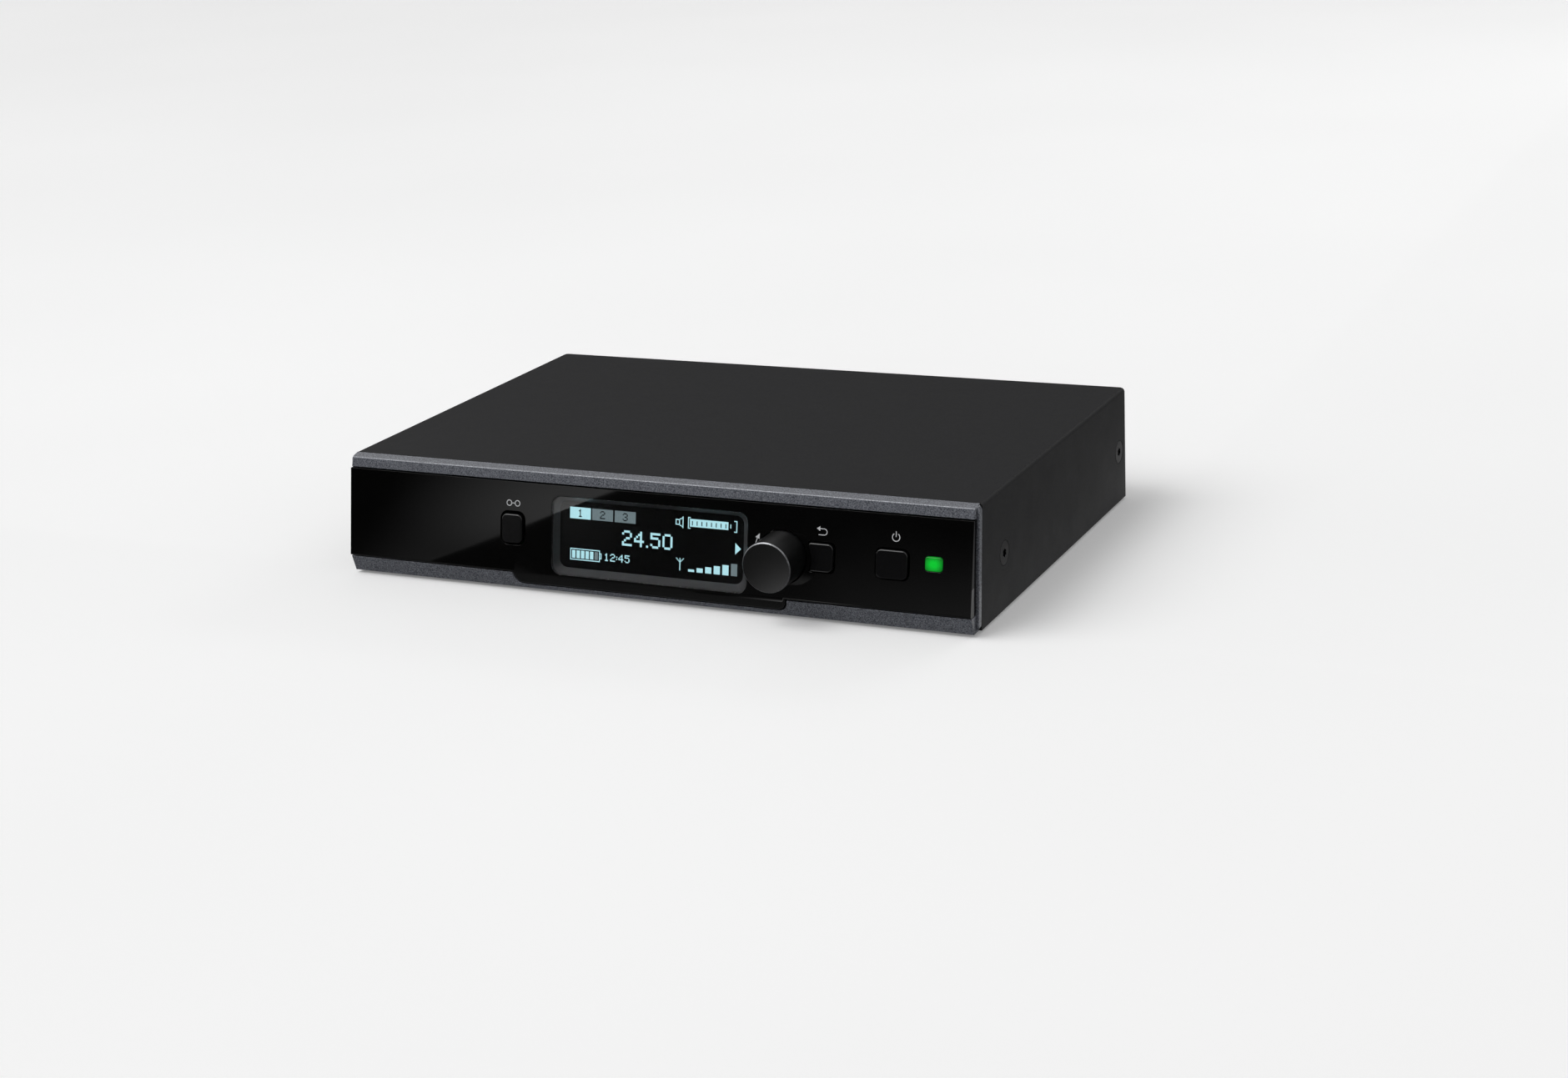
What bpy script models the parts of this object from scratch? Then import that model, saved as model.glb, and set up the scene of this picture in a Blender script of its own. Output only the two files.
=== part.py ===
# Half-rack wireless receiver, one rack unit high. Metres, +Z up, front towards -Y.
# Everything hangs under one empty. Its own frame has y = 0 at the cover's upper front edge
# and z = 0 at the underside of the casing; the feet stand below that.
import bpy
import bmesh
from math import sin, cos, tan, pi, radians, sqrt
from mathutils import Vector

# ---------------------------------------------------------------- casing
casing_width = 0.212
casing_height = 0.037
casing_depth = 0.134            # cover's upper front edge to its back
sheet = 0.0010                  # steel sheet of cover, chassis and rear panel
gap = 0.0003                    # clearance between pieces that touch
joint_lean = 0.0036             # the cover's front edge is this much further forward at its foot
fold_radius = 0.0013
rear_corner_radius = 0.0020
rear_lip = 0.0040               # width of the cover's folded edge beside the rear panel
rear_lip_head = 0.0020          # and above it
round_steps = 3                 # facets in a quarter of a small fold

# ---------------------------------------------------------------- front bezel and panel
cheek_reach = 0.0025            # bezel's side cheeks ahead of the cover
cheek_corner_radius = 0.0020
bar_inset = 0.0008              # bars and panel stop this far inside the casing's sides
ridge_y = -0.0034
ridge_drop = 0.0007             # the bezel's top falls this much to its ridge
bar_step = 0.0004               # panel stands this proud of the bars
bar_foot_y = -0.0079
bezel_rim_head = 0.0045         # rim of the bezel above its opening
bezel_rim_foot = 0.0053         # and below it
bezel_side_wall = 0.0080
panel_lean = radians(10.7)
panel_foot_y = -0.0100          # panel's lower front edge
panel_foot_z = 0.0055
panel_head_inset = 0.0040       # from the casing's top down to the panel's upper edge
panel_thickness = 0.0020
panel_side_thickness = 0.0013
chin_centre_x = 0.0008
chin_width = 0.0926
chin_end_slope = 0.0006         # how much each end draws in towards the foot
chin_foot_z = 0.0018
chin_radius = 0.0022
chin_thickness = 0.0022

# ---------------------------------------------------------------- display
window_x = 0.0015
window_width = 0.0666
window_foot_margin = 0.0005     # from the panel's lower edge, along the lean
window_head_margin = 0.0031     # and from its upper edge
window_radius = 0.0032
window_thickness = 0.0010
window_clearance = 0.00015
frame_depth = 0.0026            # panel front to screen
frame_inset_left = 0.0017       # how far the frame's slanted walls come in
frame_inset_right = 0.0026
frame_inset_foot = 0.0024
frame_inset_head = 0.0015
frame_wall = 0.0012
screen_margin = 0.0010
screen_thickness = 0.0017

# ---------------------------------------------------------------- buttons
button_rise = 0.0137            # centre above the panel's lower edge, along the lean
button_proud = 0.0009
button_clearance = 0.00045
button_radius = 0.0017
button_chamfer = 0.00030
button_travel = 0.0005
button_flange = 0.0008          # rim that keeps the button behind the panel
button_flange_thickness = 0.0010
button_stem_radius = 0.0015
link_button_gap = 0.0136        # from the window's left edge to the button's centre
link_button_width = 0.0071
link_button_height = 0.0089
link_button_clearance = 0.0008
back_button_gap = 0.0128        # from the knob's axis
back_button_width = 0.0078
back_button_height = 0.0083
back_button_scoop = 0.0098      # radius about the knob's axis of the button's hollow side
power_button_inset = 0.0253     # from the casing's right side
power_button_width = 0.0098
power_button_height = 0.0084
switch_size = 0.0060
switch_depth = 0.0035
switch_plunger_radius = 0.0016
switch_plunger_proud = 0.0012
switch_plunger_length = 0.0024

# ---------------------------------------------------------------- status light
light_inset = 0.0126            # from the casing's right side
light_rise = 0.0147
light_width = 0.0051
light_height = 0.0040
light_radius = 0.0007
light_clearance = 0.0002
chip_width = 0.0032
chip_height = 0.0026
chip_depth = 0.0014

# ---------------------------------------------------------------- control knob and encoder
knob_gap = 0.0109               # from the window's right edge to the knob's axis
knob_z = 0.0179
knob_radius = 0.0077
knob_front_y = -0.0183
knob_length = 0.0128
knob_chamfer = 0.0004
knob_clearance = 0.00035
knob_web = 0.0016               # front wall between the shaft's end and the knob's face
shaft_radius = 0.0030
shaft_flat = 0.0006             # depth of the flat on the shaft
push_travel = 0.0006
bushing_wall = 0.0006
bushing_length = 0.0025
encoder_size = 0.0120
encoder_depth = 0.0065
encoder_front_wall = 0.0014
rotor_radius = 0.0048
rotor_thickness = 0.0020
shaft_tail = 0.0004             # shaft end behind the rotor

# ---------------------------------------------------------------- boards
board_thickness = 0.0016
front_board_y = 0.0050          # front face of the front board
front_board_height = 0.0240
front_board_centre_z = 0.0195
bezel_arm_thickness = 0.0054
bezel_arm_reach = 0.0220
bezel_arm_low = 0.0115
bezel_arm_height = 0.0110
main_board_inset = 0.0110       # from the casing's sides
main_board_front_y = 0.0120
main_board_back_gap = 0.0020    # to the rear panel
spacer_height = 0.0050
spacer_radius = 0.0028
board_screw_side_inset = 0.0100 # from the main board's edges
board_screw_front_inset = 0.0080
board_screw_rear_inset = 0.0217
board_screw_shank = 0.0012
board_screw_head = 0.0028
board_screw_head_height = 0.0018
board_screw_length = 0.0055
ribbon_width = 0.0220
ribbon_thickness = 0.0008
ribbon_x = -0.0150
ribbon_start_z = 0.0200
ribbon_reach = 0.0105
ribbon_radius = 0.0030

# ---------------------------------------------------------------- fastening of the casing
flange_height = 0.0220
side_screw_front_y = 0.0165
side_screw_rear_inset = 0.0082  # from the casing's back
side_screw_z = 0.0170
side_screw_head = 0.00375
side_screw_shank = 0.0015
side_screw_length = 0.0065
side_screw_drive = 0.0014
side_screw_drive_depth = 0.0008
rear_flange_length = 0.0100
foot_proud = 0.0010
foot_radius = 0.0060
foot_stud_radius = 0.0018
foot_barb = 0.0005
foot_side_inset = 0.0140        # from the casing's sides
foot_front_y = 0.0120
foot_rear_inset = 0.0140        # from the casing's back

# ---------------------------------------------------------------- rear sockets
xlr_x = -0.0300
xlr_shell_radius = 0.0110
xlr_bore_radius = 0.00925
xlr_bore_depth = 0.0155
xlr_body_width = 0.0260
xlr_body_height = 0.0230
xlr_body_depth = 0.0190
xlr_proud = 0.0008
xlr_pin_radius = 0.0012
xlr_pin_circle = 0.0049
xlr_pin_length = 0.0100
xlr_base_thickness = 0.0020
xlr_screw_side = 0.0102         # screws are this far from the socket's axis, sideways
xlr_screw_rise = 0.0090         # and up or down
xlr_screw_head = 0.0022
xlr_screw_shank = 0.0012
xlr_screw_length = 0.0060
xlr_screw_head_height = 0.0010
jack_x = 0.0020
jack_body_width = 0.0160
jack_body_height = 0.0150
jack_body_depth = 0.0260
jack_bore_radius = 0.0033
jack_bore_depth = 0.0280
jack_thread_radius = 0.0046
jack_thread_length = 0.0050
jack_nut_radius = 0.0070
jack_nut_thickness = 0.0022
aerial_inset = 0.0180           # from the casing's sides
aerial_z = 0.0190
aerial_body = 0.0080
aerial_body_depth = 0.0060
aerial_thread_radius = 0.0031
aerial_thread_length = 0.0095
aerial_bore_radius = 0.0023
aerial_bore_depth = 0.0055
aerial_pin_radius = 0.0006
aerial_nut_radius = 0.0046
aerial_nut_thickness = 0.0020
power_inlet_inset = 0.0500      # from the casing's right side
power_inlet_width = 0.0090
power_inlet_height = 0.0110
power_inlet_depth = 0.0140
power_inlet_bore = 0.00315
power_inlet_bore_depth = 0.0095
power_inlet_pin = 0.0010
data_port_inset = 0.0720        # from the casing's right side
data_port_width = 0.0080
data_port_height = 0.0033
data_port_depth = 0.0070
data_port_wall = 0.0005
hook_gap = 0.0085               # from the power inlet to the hook
hook_width = 0.0060
hook_thickness = 0.0012
hook_space = 0.0055
hook_height = 0.0110
hook_lip = 0.0050

# ---------------------------------------------------------------- electronics on the main board
radio_x = -0.0550
radio_y = 0.0620
radio_width = 0.0520
radio_depth = 0.0340
radio_board_thickness = 0.0010
can_width = 0.0440
can_depth = 0.0290
can_height = 0.0050
can_wall = 0.0004
lead_radius = 0.0009
lead_lane_inset = 0.0357        # from the rear panel to where the long lead crosses over
lead_lane_z = 0.0220
processor_x = 0.0200
processor_y = 0.0600
processor_size = 0.0140
processor_height = 0.0014
converter_x = -0.0080
converter_inset = 0.0457        # from the rear panel
converter_size = 0.0090
converter_height = 0.0012
coil_side_inset = 0.0360        # from the casing's right side
coil_rear_inset = 0.0417        # from the rear panel
coil_size = 0.0100
coil_height = 0.0050
capacitor_radius = 0.0040
capacitor_height = 0.0100
capacitor_insets = ((0.0580, 0.0297), (0.0460, 0.0337))   # from the right side and the rear panel

# ---------------------------------------------------------------- places that follow from the sizes
half_width = casing_width / 2
half_inside = half_width - sheet
bar_half = half_width - bar_inset
floor_top = sheet
panel_height = (casing_height - panel_head_inset - panel_foot_z) / cos(panel_lean)
window_height = panel_height - window_foot_margin - window_head_margin
window_rise = window_foot_margin + window_height / 2
link_button_x = window_x - window_width / 2 - link_button_gap
knob_x = window_x + window_width / 2 + knob_gap
back_button_x = knob_x + back_button_gap
power_button_x = half_width - power_button_inset
light_x = half_width - light_inset
aerial_x = half_width - aerial_inset
power_inlet_x = half_width - power_inlet_inset
data_port_x = half_width - data_port_inset
hook_x = power_inlet_x + power_inlet_width / 2 + hook_gap
flange_outer_x = half_inside - gap
flange_inner_x = flange_outer_x - sheet
rear_panel_outer_y = casing_depth - sheet - gap
rear_panel_inner_y = rear_panel_outer_y - sheet
side_screw_rear_y = casing_depth - side_screw_rear_inset
main_board_half = half_width - main_board_inset
main_board_back_y = rear_panel_inner_y - main_board_back_gap
board_screw_x = main_board_half - board_screw_side_inset
board_screw_front_y = main_board_front_y + board_screw_front_inset
board_screw_rear_y = main_board_back_y - board_screw_rear_inset
foot_x = half_width - foot_side_inset
foot_rear_y = casing_depth - foot_rear_inset
lead_lane_y = rear_panel_inner_y - lead_lane_inset
board_low = floor_top + spacer_height + gap
board_top = board_low + board_thickness
parts_low = board_top + gap
front_board_half = half_width - bezel_side_wall - gap
front_board_back_y = front_board_y + board_thickness
switch_front_y = front_board_y - gap - switch_depth
encoder_back_y = front_board_y - gap
encoder_front_y = encoder_back_y - encoder_depth
bushing_front_y = encoder_front_y - bushing_length
bushing_radius = shaft_radius + gap + bushing_wall
rotor_front_y = encoder_front_y + encoder_front_wall + gap
shaft_back_y = rotor_front_y + rotor_thickness + shaft_tail
cavity_back_y = shaft_back_y + push_travel + gap
shaft_front_y = knob_front_y + knob_web + gap
xlr_z = parts_low + xlr_body_height / 2
jack_z = parts_low + jack_body_height / 2
power_inlet_z = parts_low + power_inlet_height / 2
data_port_z = parts_low + data_port_height / 2
aerial_tip_y = rear_panel_inner_y - gap + aerial_thread_length
hook_back_y = rear_panel_outer_y + gap + hook_thickness + hook_space + hook_thickness
front_reach = knob_front_y
rear_reach = max(aerial_tip_y, hook_back_y, casing_depth)


def joint_y(z):
    """Front edge of the cover at height z."""
    return -joint_lean * (casing_height - z) / casing_height


def cheek_y(z):
    """Front of the bezel's side cheeks at height z."""
    return joint_y(z) - cheek_reach


def panel_y(z):
    """Panel's front face at height z."""
    return panel_foot_y + (z - panel_foot_z) * tan(panel_lean)


def panel_back_y(z):
    """Panel's back face at height z."""
    return panel_y(z) + panel_thickness / cos(panel_lean)


def lean_z(rise):
    """Height of a point on the panel's front, from its distance up the lean."""
    return panel_foot_z + rise * cos(panel_lean)


panel_head_z = lean_z(panel_height)


# ---------------------------------------------------------------- helpers
def linear(channel):
    value = channel / 255
    return value / 12.92 if value <= 0.04045 else ((value + 0.055) / 1.055) ** 2.4


def material(name, colour, roughness, metallic=0.0, alpha=1.0):
    """Principled material from an sRGB colour written as six hex digits."""
    made = bpy.data.materials.new(name)
    made.use_nodes = True
    shader = made.node_tree.nodes["Principled BSDF"]
    rgb = [linear(int(colour[i:i + 2], 16)) for i in (0, 2, 4)]
    shader.inputs["Base Color"].default_value = (*rgb, 1.0)
    shader.inputs["Roughness"].default_value = roughness
    shader.inputs["Metallic"].default_value = metallic
    shader.inputs["Alpha"].default_value = alpha
    return made


def ring_mesh(rings, close_ends=True, loop=False):
    """Skin a list of rings of points that all have the same number of points."""
    bm = bmesh.new()
    rows = [[bm.verts.new(point) for point in ring] for ring in rings]
    pairs = list(zip(rows, rows[1:]))
    if loop:
        pairs.append((rows[-1], rows[0]))
    for low, high in pairs:
        for i in range(len(low)):
            j = (i + 1) % len(low)
            bm.faces.new((low[i], low[j], high[j], high[i]))
    if close_ends and not loop:
        bm.faces.new(rows[0])
        bm.faces.new(rows[-1])
    bmesh.ops.recalc_face_normals(bm, faces=bm.faces)
    return bm


def block(x_range, y_range, z_range):
    """Box between two corners."""
    (x0, x1), (y0, y1), (z0, z1) = x_range, y_range, z_range
    outline = ((x0, y0), (x1, y0), (x1, y1), (x0, y1))
    return ring_mesh([[(x, y, z) for x, y in outline] for z in (z0, z1)])


def centred_block(width, depth, height):
    """Box round the origin."""
    return block((-width / 2, width / 2), (-depth / 2, depth / 2), (-height / 2, height / 2))


def prism_x(outline, x0, x1):
    """Outline of (y, z) points carried along X."""
    return ring_mesh([[(x, y, z) for y, z in outline] for x in (x0, x1)])


def prism_y(outline, front, back):
    """Outline of (x, z) points carried along Y. Each end is a number or a function of z."""
    ends = [end if callable(end) else (lambda z, fixed=end: fixed) for end in (front, back)]
    return ring_mesh([[(x, end(z), z) for x, z in outline] for end in ends])


def rounded_rectangle(centre, width, height, radius, steps=round_steps):
    """Points round a rectangle with round corners, anticlockwise."""
    points = []
    for quarter, (side, level) in enumerate(((1, 1), (-1, 1), (-1, -1), (1, -1))):
        corner = (centre[0] + side * (width / 2 - radius), centre[1] + level * (height / 2 - radius))
        for step in range(steps + 1):
            angle = (quarter + step / steps) * pi / 2
            points.append((corner[0] + radius * cos(angle), corner[1] + radius * sin(angle)))
    return points


def circle(centre, radius, steps=24, turn=0.0):
    """Points round a circle, anticlockwise."""
    angles = [turn + 2 * pi * i / steps for i in range(steps)]
    return [(centre[0] + radius * cos(a), centre[1] + radius * sin(a)) for a in angles]


def turned(profile, steps=24, turn=0.0):
    """Solid of revolution about Z from (radius, z) points; its ends are closed flat."""
    return ring_mesh([[(x, y, z) for x, y in circle((0, 0), r, steps, turn)] for r, z in profile])


def turned_ring(profile, steps=24, turn=0.0):
    """Ring of revolution about Z from a closed loop of (radius, z) points."""
    rings = [[(x, y, z) for x, y in circle((0, 0), r, steps, turn)] for r, z in profile]
    return ring_mesh(rings, loop=True)


def bevel(bm, chosen, offset, segments=1):
    """Bevel the edges that the test picks."""
    edges = [edge for edge in bm.edges if chosen(edge)]
    bmesh.ops.bevel(bm, geom=edges, offset=offset, segments=segments, profile=0.5, affect="EDGES",
                    material=-1)
    return bm


def runs_along(edge, axis):
    """True for an edge that lies along the axis numbered 0, 1 or 2."""
    way = edge.verts[1].co - edge.verts[0].co
    return abs(way[axis]) > 0.9 * way.length


facing = {                      # turns that point a turned piece's +Z along each direction
    "+Z": (0, 0, 0),
    "-Z": (pi, 0, 0),
    "-Y": (pi / 2, 0, 0),
    "+Y": (-pi / 2, 0, 0),
    "+X": (0, pi / 2, 0),
    "-X": (0, -pi / 2, 0),
}


def place(name, bm, look, at=(0, 0, 0), towards="+Z", lean=0.0, smooth=None):
    """Turn a bmesh into a named object under the origin empty."""
    mesh = bpy.data.meshes.new(name)
    bm.to_mesh(mesh)
    bm.free()
    if smooth:
        mesh.shade_smooth()
        mesh.set_sharp_from_angle(angle=radians(smooth))
    made = bpy.data.objects.new(name, mesh)
    bpy.context.scene.collection.objects.link(made)
    made.parent = origin
    made.location = at
    made.rotation_euler = (lean, 0, 0) if lean else facing[towards]
    if look:
        mesh.materials.append(look)
    return made


def guide(name, bm, at=(0, 0, 0), towards="+Z", lean=0.0):
    """Hidden shape that only serves to shape another object."""
    made = place(name, bm, None, at, towards, lean)
    made.hide_render = True
    made.display_type = "WIRE"
    return made


def combine(target, tool, operation):
    """Subtract, join or intersect with a hidden object, by an exact Boolean."""
    modifier = target.modifiers.new(operation.lower(), "BOOLEAN")
    modifier.operation = operation
    modifier.solver = "EXACT"
    modifier.object = tool


def shape_with(target, bm, operation, at=(0, 0, 0), towards="+Z", lean=0.0):
    combine(target, guide(target.name + "_tool", bm, at, towards, lean), operation)


def cut(target, bm, **where):
    shape_with(target, bm, "DIFFERENCE", **where)


def add(target, bm, **where):
    shape_with(target, bm, "UNION", **where)


for leftover in list(bpy.data.objects):
    bpy.data.objects.remove(leftover, do_unlink=True)

origin = bpy.data.objects.new("receiver_origin", None)
bpy.context.scene.collection.objects.link(origin)
origin.location = (0, -(front_reach + rear_reach) / 2, foot_proud)

powder_black = material("satin_black_powder_coat", "2a2a2b", 0.55, 0.0)
zinc = material("zinc_plated_steel", "9a9ca0", 0.38, 1.0)
fleck_paint = material("grey_metallic_paint", "484b52", 0.42, 0.35)
gloss_black = material("gloss_black_acrylic", "060607", 0.06)
clear = material("clear_acrylic", "f4f6f6", 0.03, 0.0, 0.25)
dark_frame = material("dark_satin_abs", "2b2b2d", 0.40)
screen_black = material("display_glass", "0e0e0f", 0.12)
satin_plastic = material("satin_black_abs", "141415", 0.38)
knob_plastic = material("matt_black_knob", "1b1b1c", 0.45)
board_green = material("green_solder_mask", "1c5230", 0.45)
plating = material("nickel_plate", "b9b7b0", 0.25, 1.0)
gold = material("gold_plate", "c9a24a", 0.28, 1.0)
switch_plastic = material("switch_body", "202022", 0.50)
chip_plastic = material("chip_epoxy", "161617", 0.60)
glow_green = material("green_diffuser", "10c040", 0.30)
rubber = material("black_rubber", "121212", 0.80)
black_zinc = material("black_zinc_screw", "1a1a1b", 0.38, 1.0)
ribbon_grey = material("ribbon_insulation", "b4b4b0", 0.50)
sleeve_grey = material("cable_sleeve", "3a3a3c", 0.50)
can_metal = material("tinned_can", "c4c4c2", 0.30, 1.0)
capacitor_sleeve = material("capacitor_can", "2b3550", 0.35)


# ---------------------------------------------------------------- casing
def screw_hole(radius):
    """Cutter for a plain hole across a side wall or flange."""
    return turned([(radius, -3 * side_screw_length), (radius, 3 * side_screw_length)], steps=16)


def side_screws():
    """Side, y, and the direction that the head faces, for each of the four side screws."""
    for side, way in ((-1, "-X"), (1, "+X")):
        for y, end in ((side_screw_front_y, "front"), (side_screw_rear_y, "rear")):
            yield side, way, y, end


def top_cover():
    """Folded sheet: top, two sides and a narrow lip round the rear panel."""
    outline = ((joint_y(0), 0), (casing_depth, 0), (casing_depth, casing_height), (0, casing_height))
    shell = prism_x(outline, -half_width, half_width)
    bevel(shell, lambda e: runs_along(e, 2) and min(v.co.y for v in e.verts) > casing_depth / 2,
          rear_corner_radius, round_steps)
    top = casing_height - 1e-6
    bevel(shell, lambda e: all(v.co.z > top for v in e.verts)
          and max(v.co.y for v in e.verts) > casing_depth / 10, fold_radius, round_steps)
    cover = place("top_cover", shell, powder_black, smooth=30)
    inside = block((-half_inside, half_inside), (-casing_depth, casing_depth - sheet),
                   (-casing_height, casing_height - sheet))
    bevel(inside, lambda e: runs_along(e, 1) and max(v.co.z for v in e.verts) > 0,
          fold_radius - sheet, 1)
    cut(cover, inside)
    cut(cover, block((-half_width + rear_lip, half_width - rear_lip),
                     (casing_depth - 3 * sheet, casing_depth + sheet),
                     (-sheet, casing_height - rear_lip_head)))
    head = side_screw_head + gap
    for side, way, y, _ in side_screws():
        hole = turned([(head - 2 * sheet, -2 * sheet), (head + sheet, sheet)], steps=24)
        cut(cover, hole, at=(side * half_width, y, side_screw_z), towards=way)


def base_chassis():
    """Tray of folded sheet with side flanges and four pressed spacers for the main board."""
    front = joint_y(0) + sheet
    back = rear_panel_outer_y
    outline = (
        (-flange_outer_x, 0), (flange_outer_x, 0), (flange_outer_x, flange_height),
        (flange_inner_x, flange_height), (flange_inner_x, floor_top), (-flange_inner_x, floor_top),
        (-flange_inner_x, flange_height), (-flange_outer_x, flange_height),
    )
    tray = place("base_chassis", prism_y(outline, front, back), zinc)
    clear_of_bezel = front + bezel_rim_head
    cut(tray, block((-casing_width, casing_width), (-casing_depth, clear_of_bezel),
                    (floor_top, casing_height)))
    for x, y in board_screw_places():
        spacer = turned([(spacer_radius, sheet / 2), (spacer_radius, floor_top + spacer_height)], steps=12)
        add(tray, spacer, at=(x, y, 0))
        bore = turned([(board_screw_shank + gap, floor_top), (board_screw_shank + gap, casing_height)],
                      steps=12)
        cut(tray, bore, at=(x, y, 0))
    for x, y in foot_places():
        stud = foot_stud_radius + gap
        cut(tray, turned([(stud, -sheet), (stud, 2 * sheet)], steps=12), at=(x, y, 0))
    for side, way, y, _ in side_screws():
        cut(tray, screw_hole(side_screw_shank + gap), at=(side * flange_inner_x, y, side_screw_z),
            towards=way)


def side_fasteners():
    """Countersunk machine screws, flush with the cover's sides."""
    for side, way, y, end in side_screws():
        profile = [(side_screw_shank, -side_screw_length), (side_screw_shank, -sheet),
                   (side_screw_head - sheet, -sheet), (side_screw_head, 0)]
        name = ("left" if side < 0 else "right") + "_screw_" + end
        screw = place(name, turned(profile), black_zinc, at=(side * half_width, y, side_screw_z),
                      towards=way, smooth=30)
        drive = turned([(side_screw_drive, -side_screw_drive_depth), (side_screw_drive, sheet)], steps=6)
        cut(screw, drive, at=(side * half_width, y, side_screw_z), towards=way)


def rear_panel():
    """Recessed plate with two forward flanges and a hole for each socket."""
    low, high = floor_top + gap, casing_height - sheet - gap
    half = flange_inner_x - gap
    plate = block((-half, half), (rear_panel_inner_y, rear_panel_outer_y), (low, high))
    panel = place("rear_panel", plate, powder_black)
    for side in (-1, 1):
        inner, outer = sorted((side * half, side * (half - sheet)))
        add(panel, block((inner, outer), (rear_panel_outer_y - rear_flange_length, rear_panel_outer_y),
                         (low, flange_height)))
        hole = screw_hole(side_screw_shank + gap)
        cut(panel, hole, at=(side * half, side_screw_rear_y, side_screw_z), towards="+X")
    through = (rear_panel_inner_y - sheet, rear_panel_outer_y + sheet)
    round_holes = [(xlr_x, xlr_z, xlr_shell_radius, 32), (jack_x, jack_z, jack_thread_radius, 24)]
    round_holes += [(side * aerial_x, aerial_z, aerial_thread_radius, 16) for side in (-1, 1)]
    round_holes += [(x, z, xlr_screw_shank, 12) for x, z in xlr_screw_places()]
    for x, z, radius, steps in round_holes:
        cut(panel, prism_y(circle((x, z), radius + gap, steps), *through))
    square_holes = ((power_inlet_x, power_inlet_z, power_inlet_width, power_inlet_height),
                    (data_port_x, data_port_z, data_port_width, data_port_height))
    for x, z, width, height in square_holes:
        cut(panel, prism_y(rounded_rectangle((x, z), width + 2 * gap, height + 2 * gap, gap, 1), *through))


def board_screw_places():
    return [(side * board_screw_x, y) for side in (-1, 1) for y in (board_screw_front_y, board_screw_rear_y)]


def foot_places():
    return [(side * foot_x, y) for side in (-1, 1) for y in (foot_front_y, foot_rear_y)]


def feet():
    """Push-in rubber feet: a pad below the chassis and a barbed stud through it."""
    barb = foot_stud_radius + foot_barb
    profile = [(foot_radius - gap, -foot_proud), (foot_radius, -foot_proud + gap), (foot_radius, -gap),
               (foot_stud_radius, -gap), (foot_stud_radius, floor_top + gap), (barb, floor_top + gap),
               (foot_stud_radius, floor_top + 3 * gap)]
    for number, (x, y) in enumerate(foot_places(), start=1):
        place("foot_%d" % number, turned(profile, steps=20), rubber, at=(x, y, 0), smooth=30)


# ---------------------------------------------------------------- front
def button_outline(x, width, height, grow=0.0, scoop=0.0):
    """Outline of a button in X and Z, or of its hole when it grows; scoop hollows the left side."""
    z = lean_z(button_rise)
    points = rounded_rectangle((x, z), width + 2 * grow, height + 2 * grow, button_radius + grow)
    if not scoop:
        return points
    radius = scoop - grow
    right = [point for point in points if point[0] > x]
    reach = height / 2 + grow - button_radius / 2
    steps = 2 * round_steps
    left = []
    for step in range(steps + 1):
        level = z + reach - 2 * reach * step / steps
        hollow = knob_x + sqrt(radius ** 2 - (level - knob_z) ** 2)
        left.append((max(hollow, x - width / 2 - grow), level))
    top = (left[0][0] + button_radius / 2, z + height / 2 + grow)
    bottom = (left[-1][0] + button_radius / 2, z - height / 2 - grow)
    upper = [point for point in right if point[1] > z]
    lower = [point for point in right if point[1] < z]
    return upper + [top] + left + [bottom] + lower


# centre, width, height in Z, clearance in the panel and radius of the hollow side
buttons = {
    "link": (link_button_x, link_button_width, link_button_height * cos(panel_lean),
             link_button_clearance, 0.0),
    "back": (back_button_x, back_button_width, back_button_height * cos(panel_lean),
             button_clearance, back_button_scoop),
    "power": (power_button_x, power_button_width, power_button_height * cos(panel_lean),
              button_clearance, 0.0),
}


def chin_outline(grow=0.0):
    """Chin seen from the front: a shallow tray shape with round lower corners."""
    top_z = panel_foot_z + chin_thickness
    foot_z = chin_foot_z - grow
    top_half = chin_width / 2 + grow
    foot_half = top_half - chin_end_slope
    points = [(chin_centre_x + top_half, top_z), (chin_centre_x - top_half, top_z),
              (chin_centre_x - top_half, panel_foot_z)]
    for step in range(round_steps + 1):
        angle = pi + pi / 2 * step / round_steps
        points.append((chin_centre_x - foot_half + chin_radius * (1 + cos(angle)),
                       foot_z + chin_radius * (1 + sin(angle))))
    for step in range(round_steps + 1):
        angle = 3 * pi / 2 + pi / 2 * step / round_steps
        points.append((chin_centre_x + foot_half - chin_radius * (1 - cos(angle)),
                       foot_z + chin_radius * (1 + sin(angle))))
    points.append((chin_centre_x + top_half, panel_foot_z))
    return points


def bar_y(z):
    """Front face of the lower bar at height z."""
    top_y = panel_y(panel_foot_z) + bar_step
    return bar_foot_y + (top_y - bar_foot_y) * z / panel_foot_z


def chin_section(grow=0.0):
    """Chin cut across: down from the panel's foot, sloping back with the lower bar."""
    top_z = panel_foot_z + chin_thickness
    low = chin_foot_z - 2 * gap - grow
    back = chin_thickness + grow
    return [(panel_y(top_z), top_z), (panel_y(panel_foot_z), panel_foot_z),
            (bar_y(low) - bar_step, low), (bar_y(low) - bar_step + back, low),
            (panel_y(panel_foot_z) + back, panel_foot_z), (panel_y(top_z) + back, top_z)]


def chin_solid(name, grow=0.0, ahead=0.0):
    """Chin as a hidden solid: its section carried along X and kept inside its outline."""
    section = [(y - ahead if i < 3 else y, z) for i, (y, z) in enumerate(chin_section(grow))]
    solid = guide(name, prism_x(section, -half_width, half_width))
    shape_with(solid, prism_y(chin_outline(grow), -casing_depth, casing_depth), "INTERSECT")
    return solid


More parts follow.
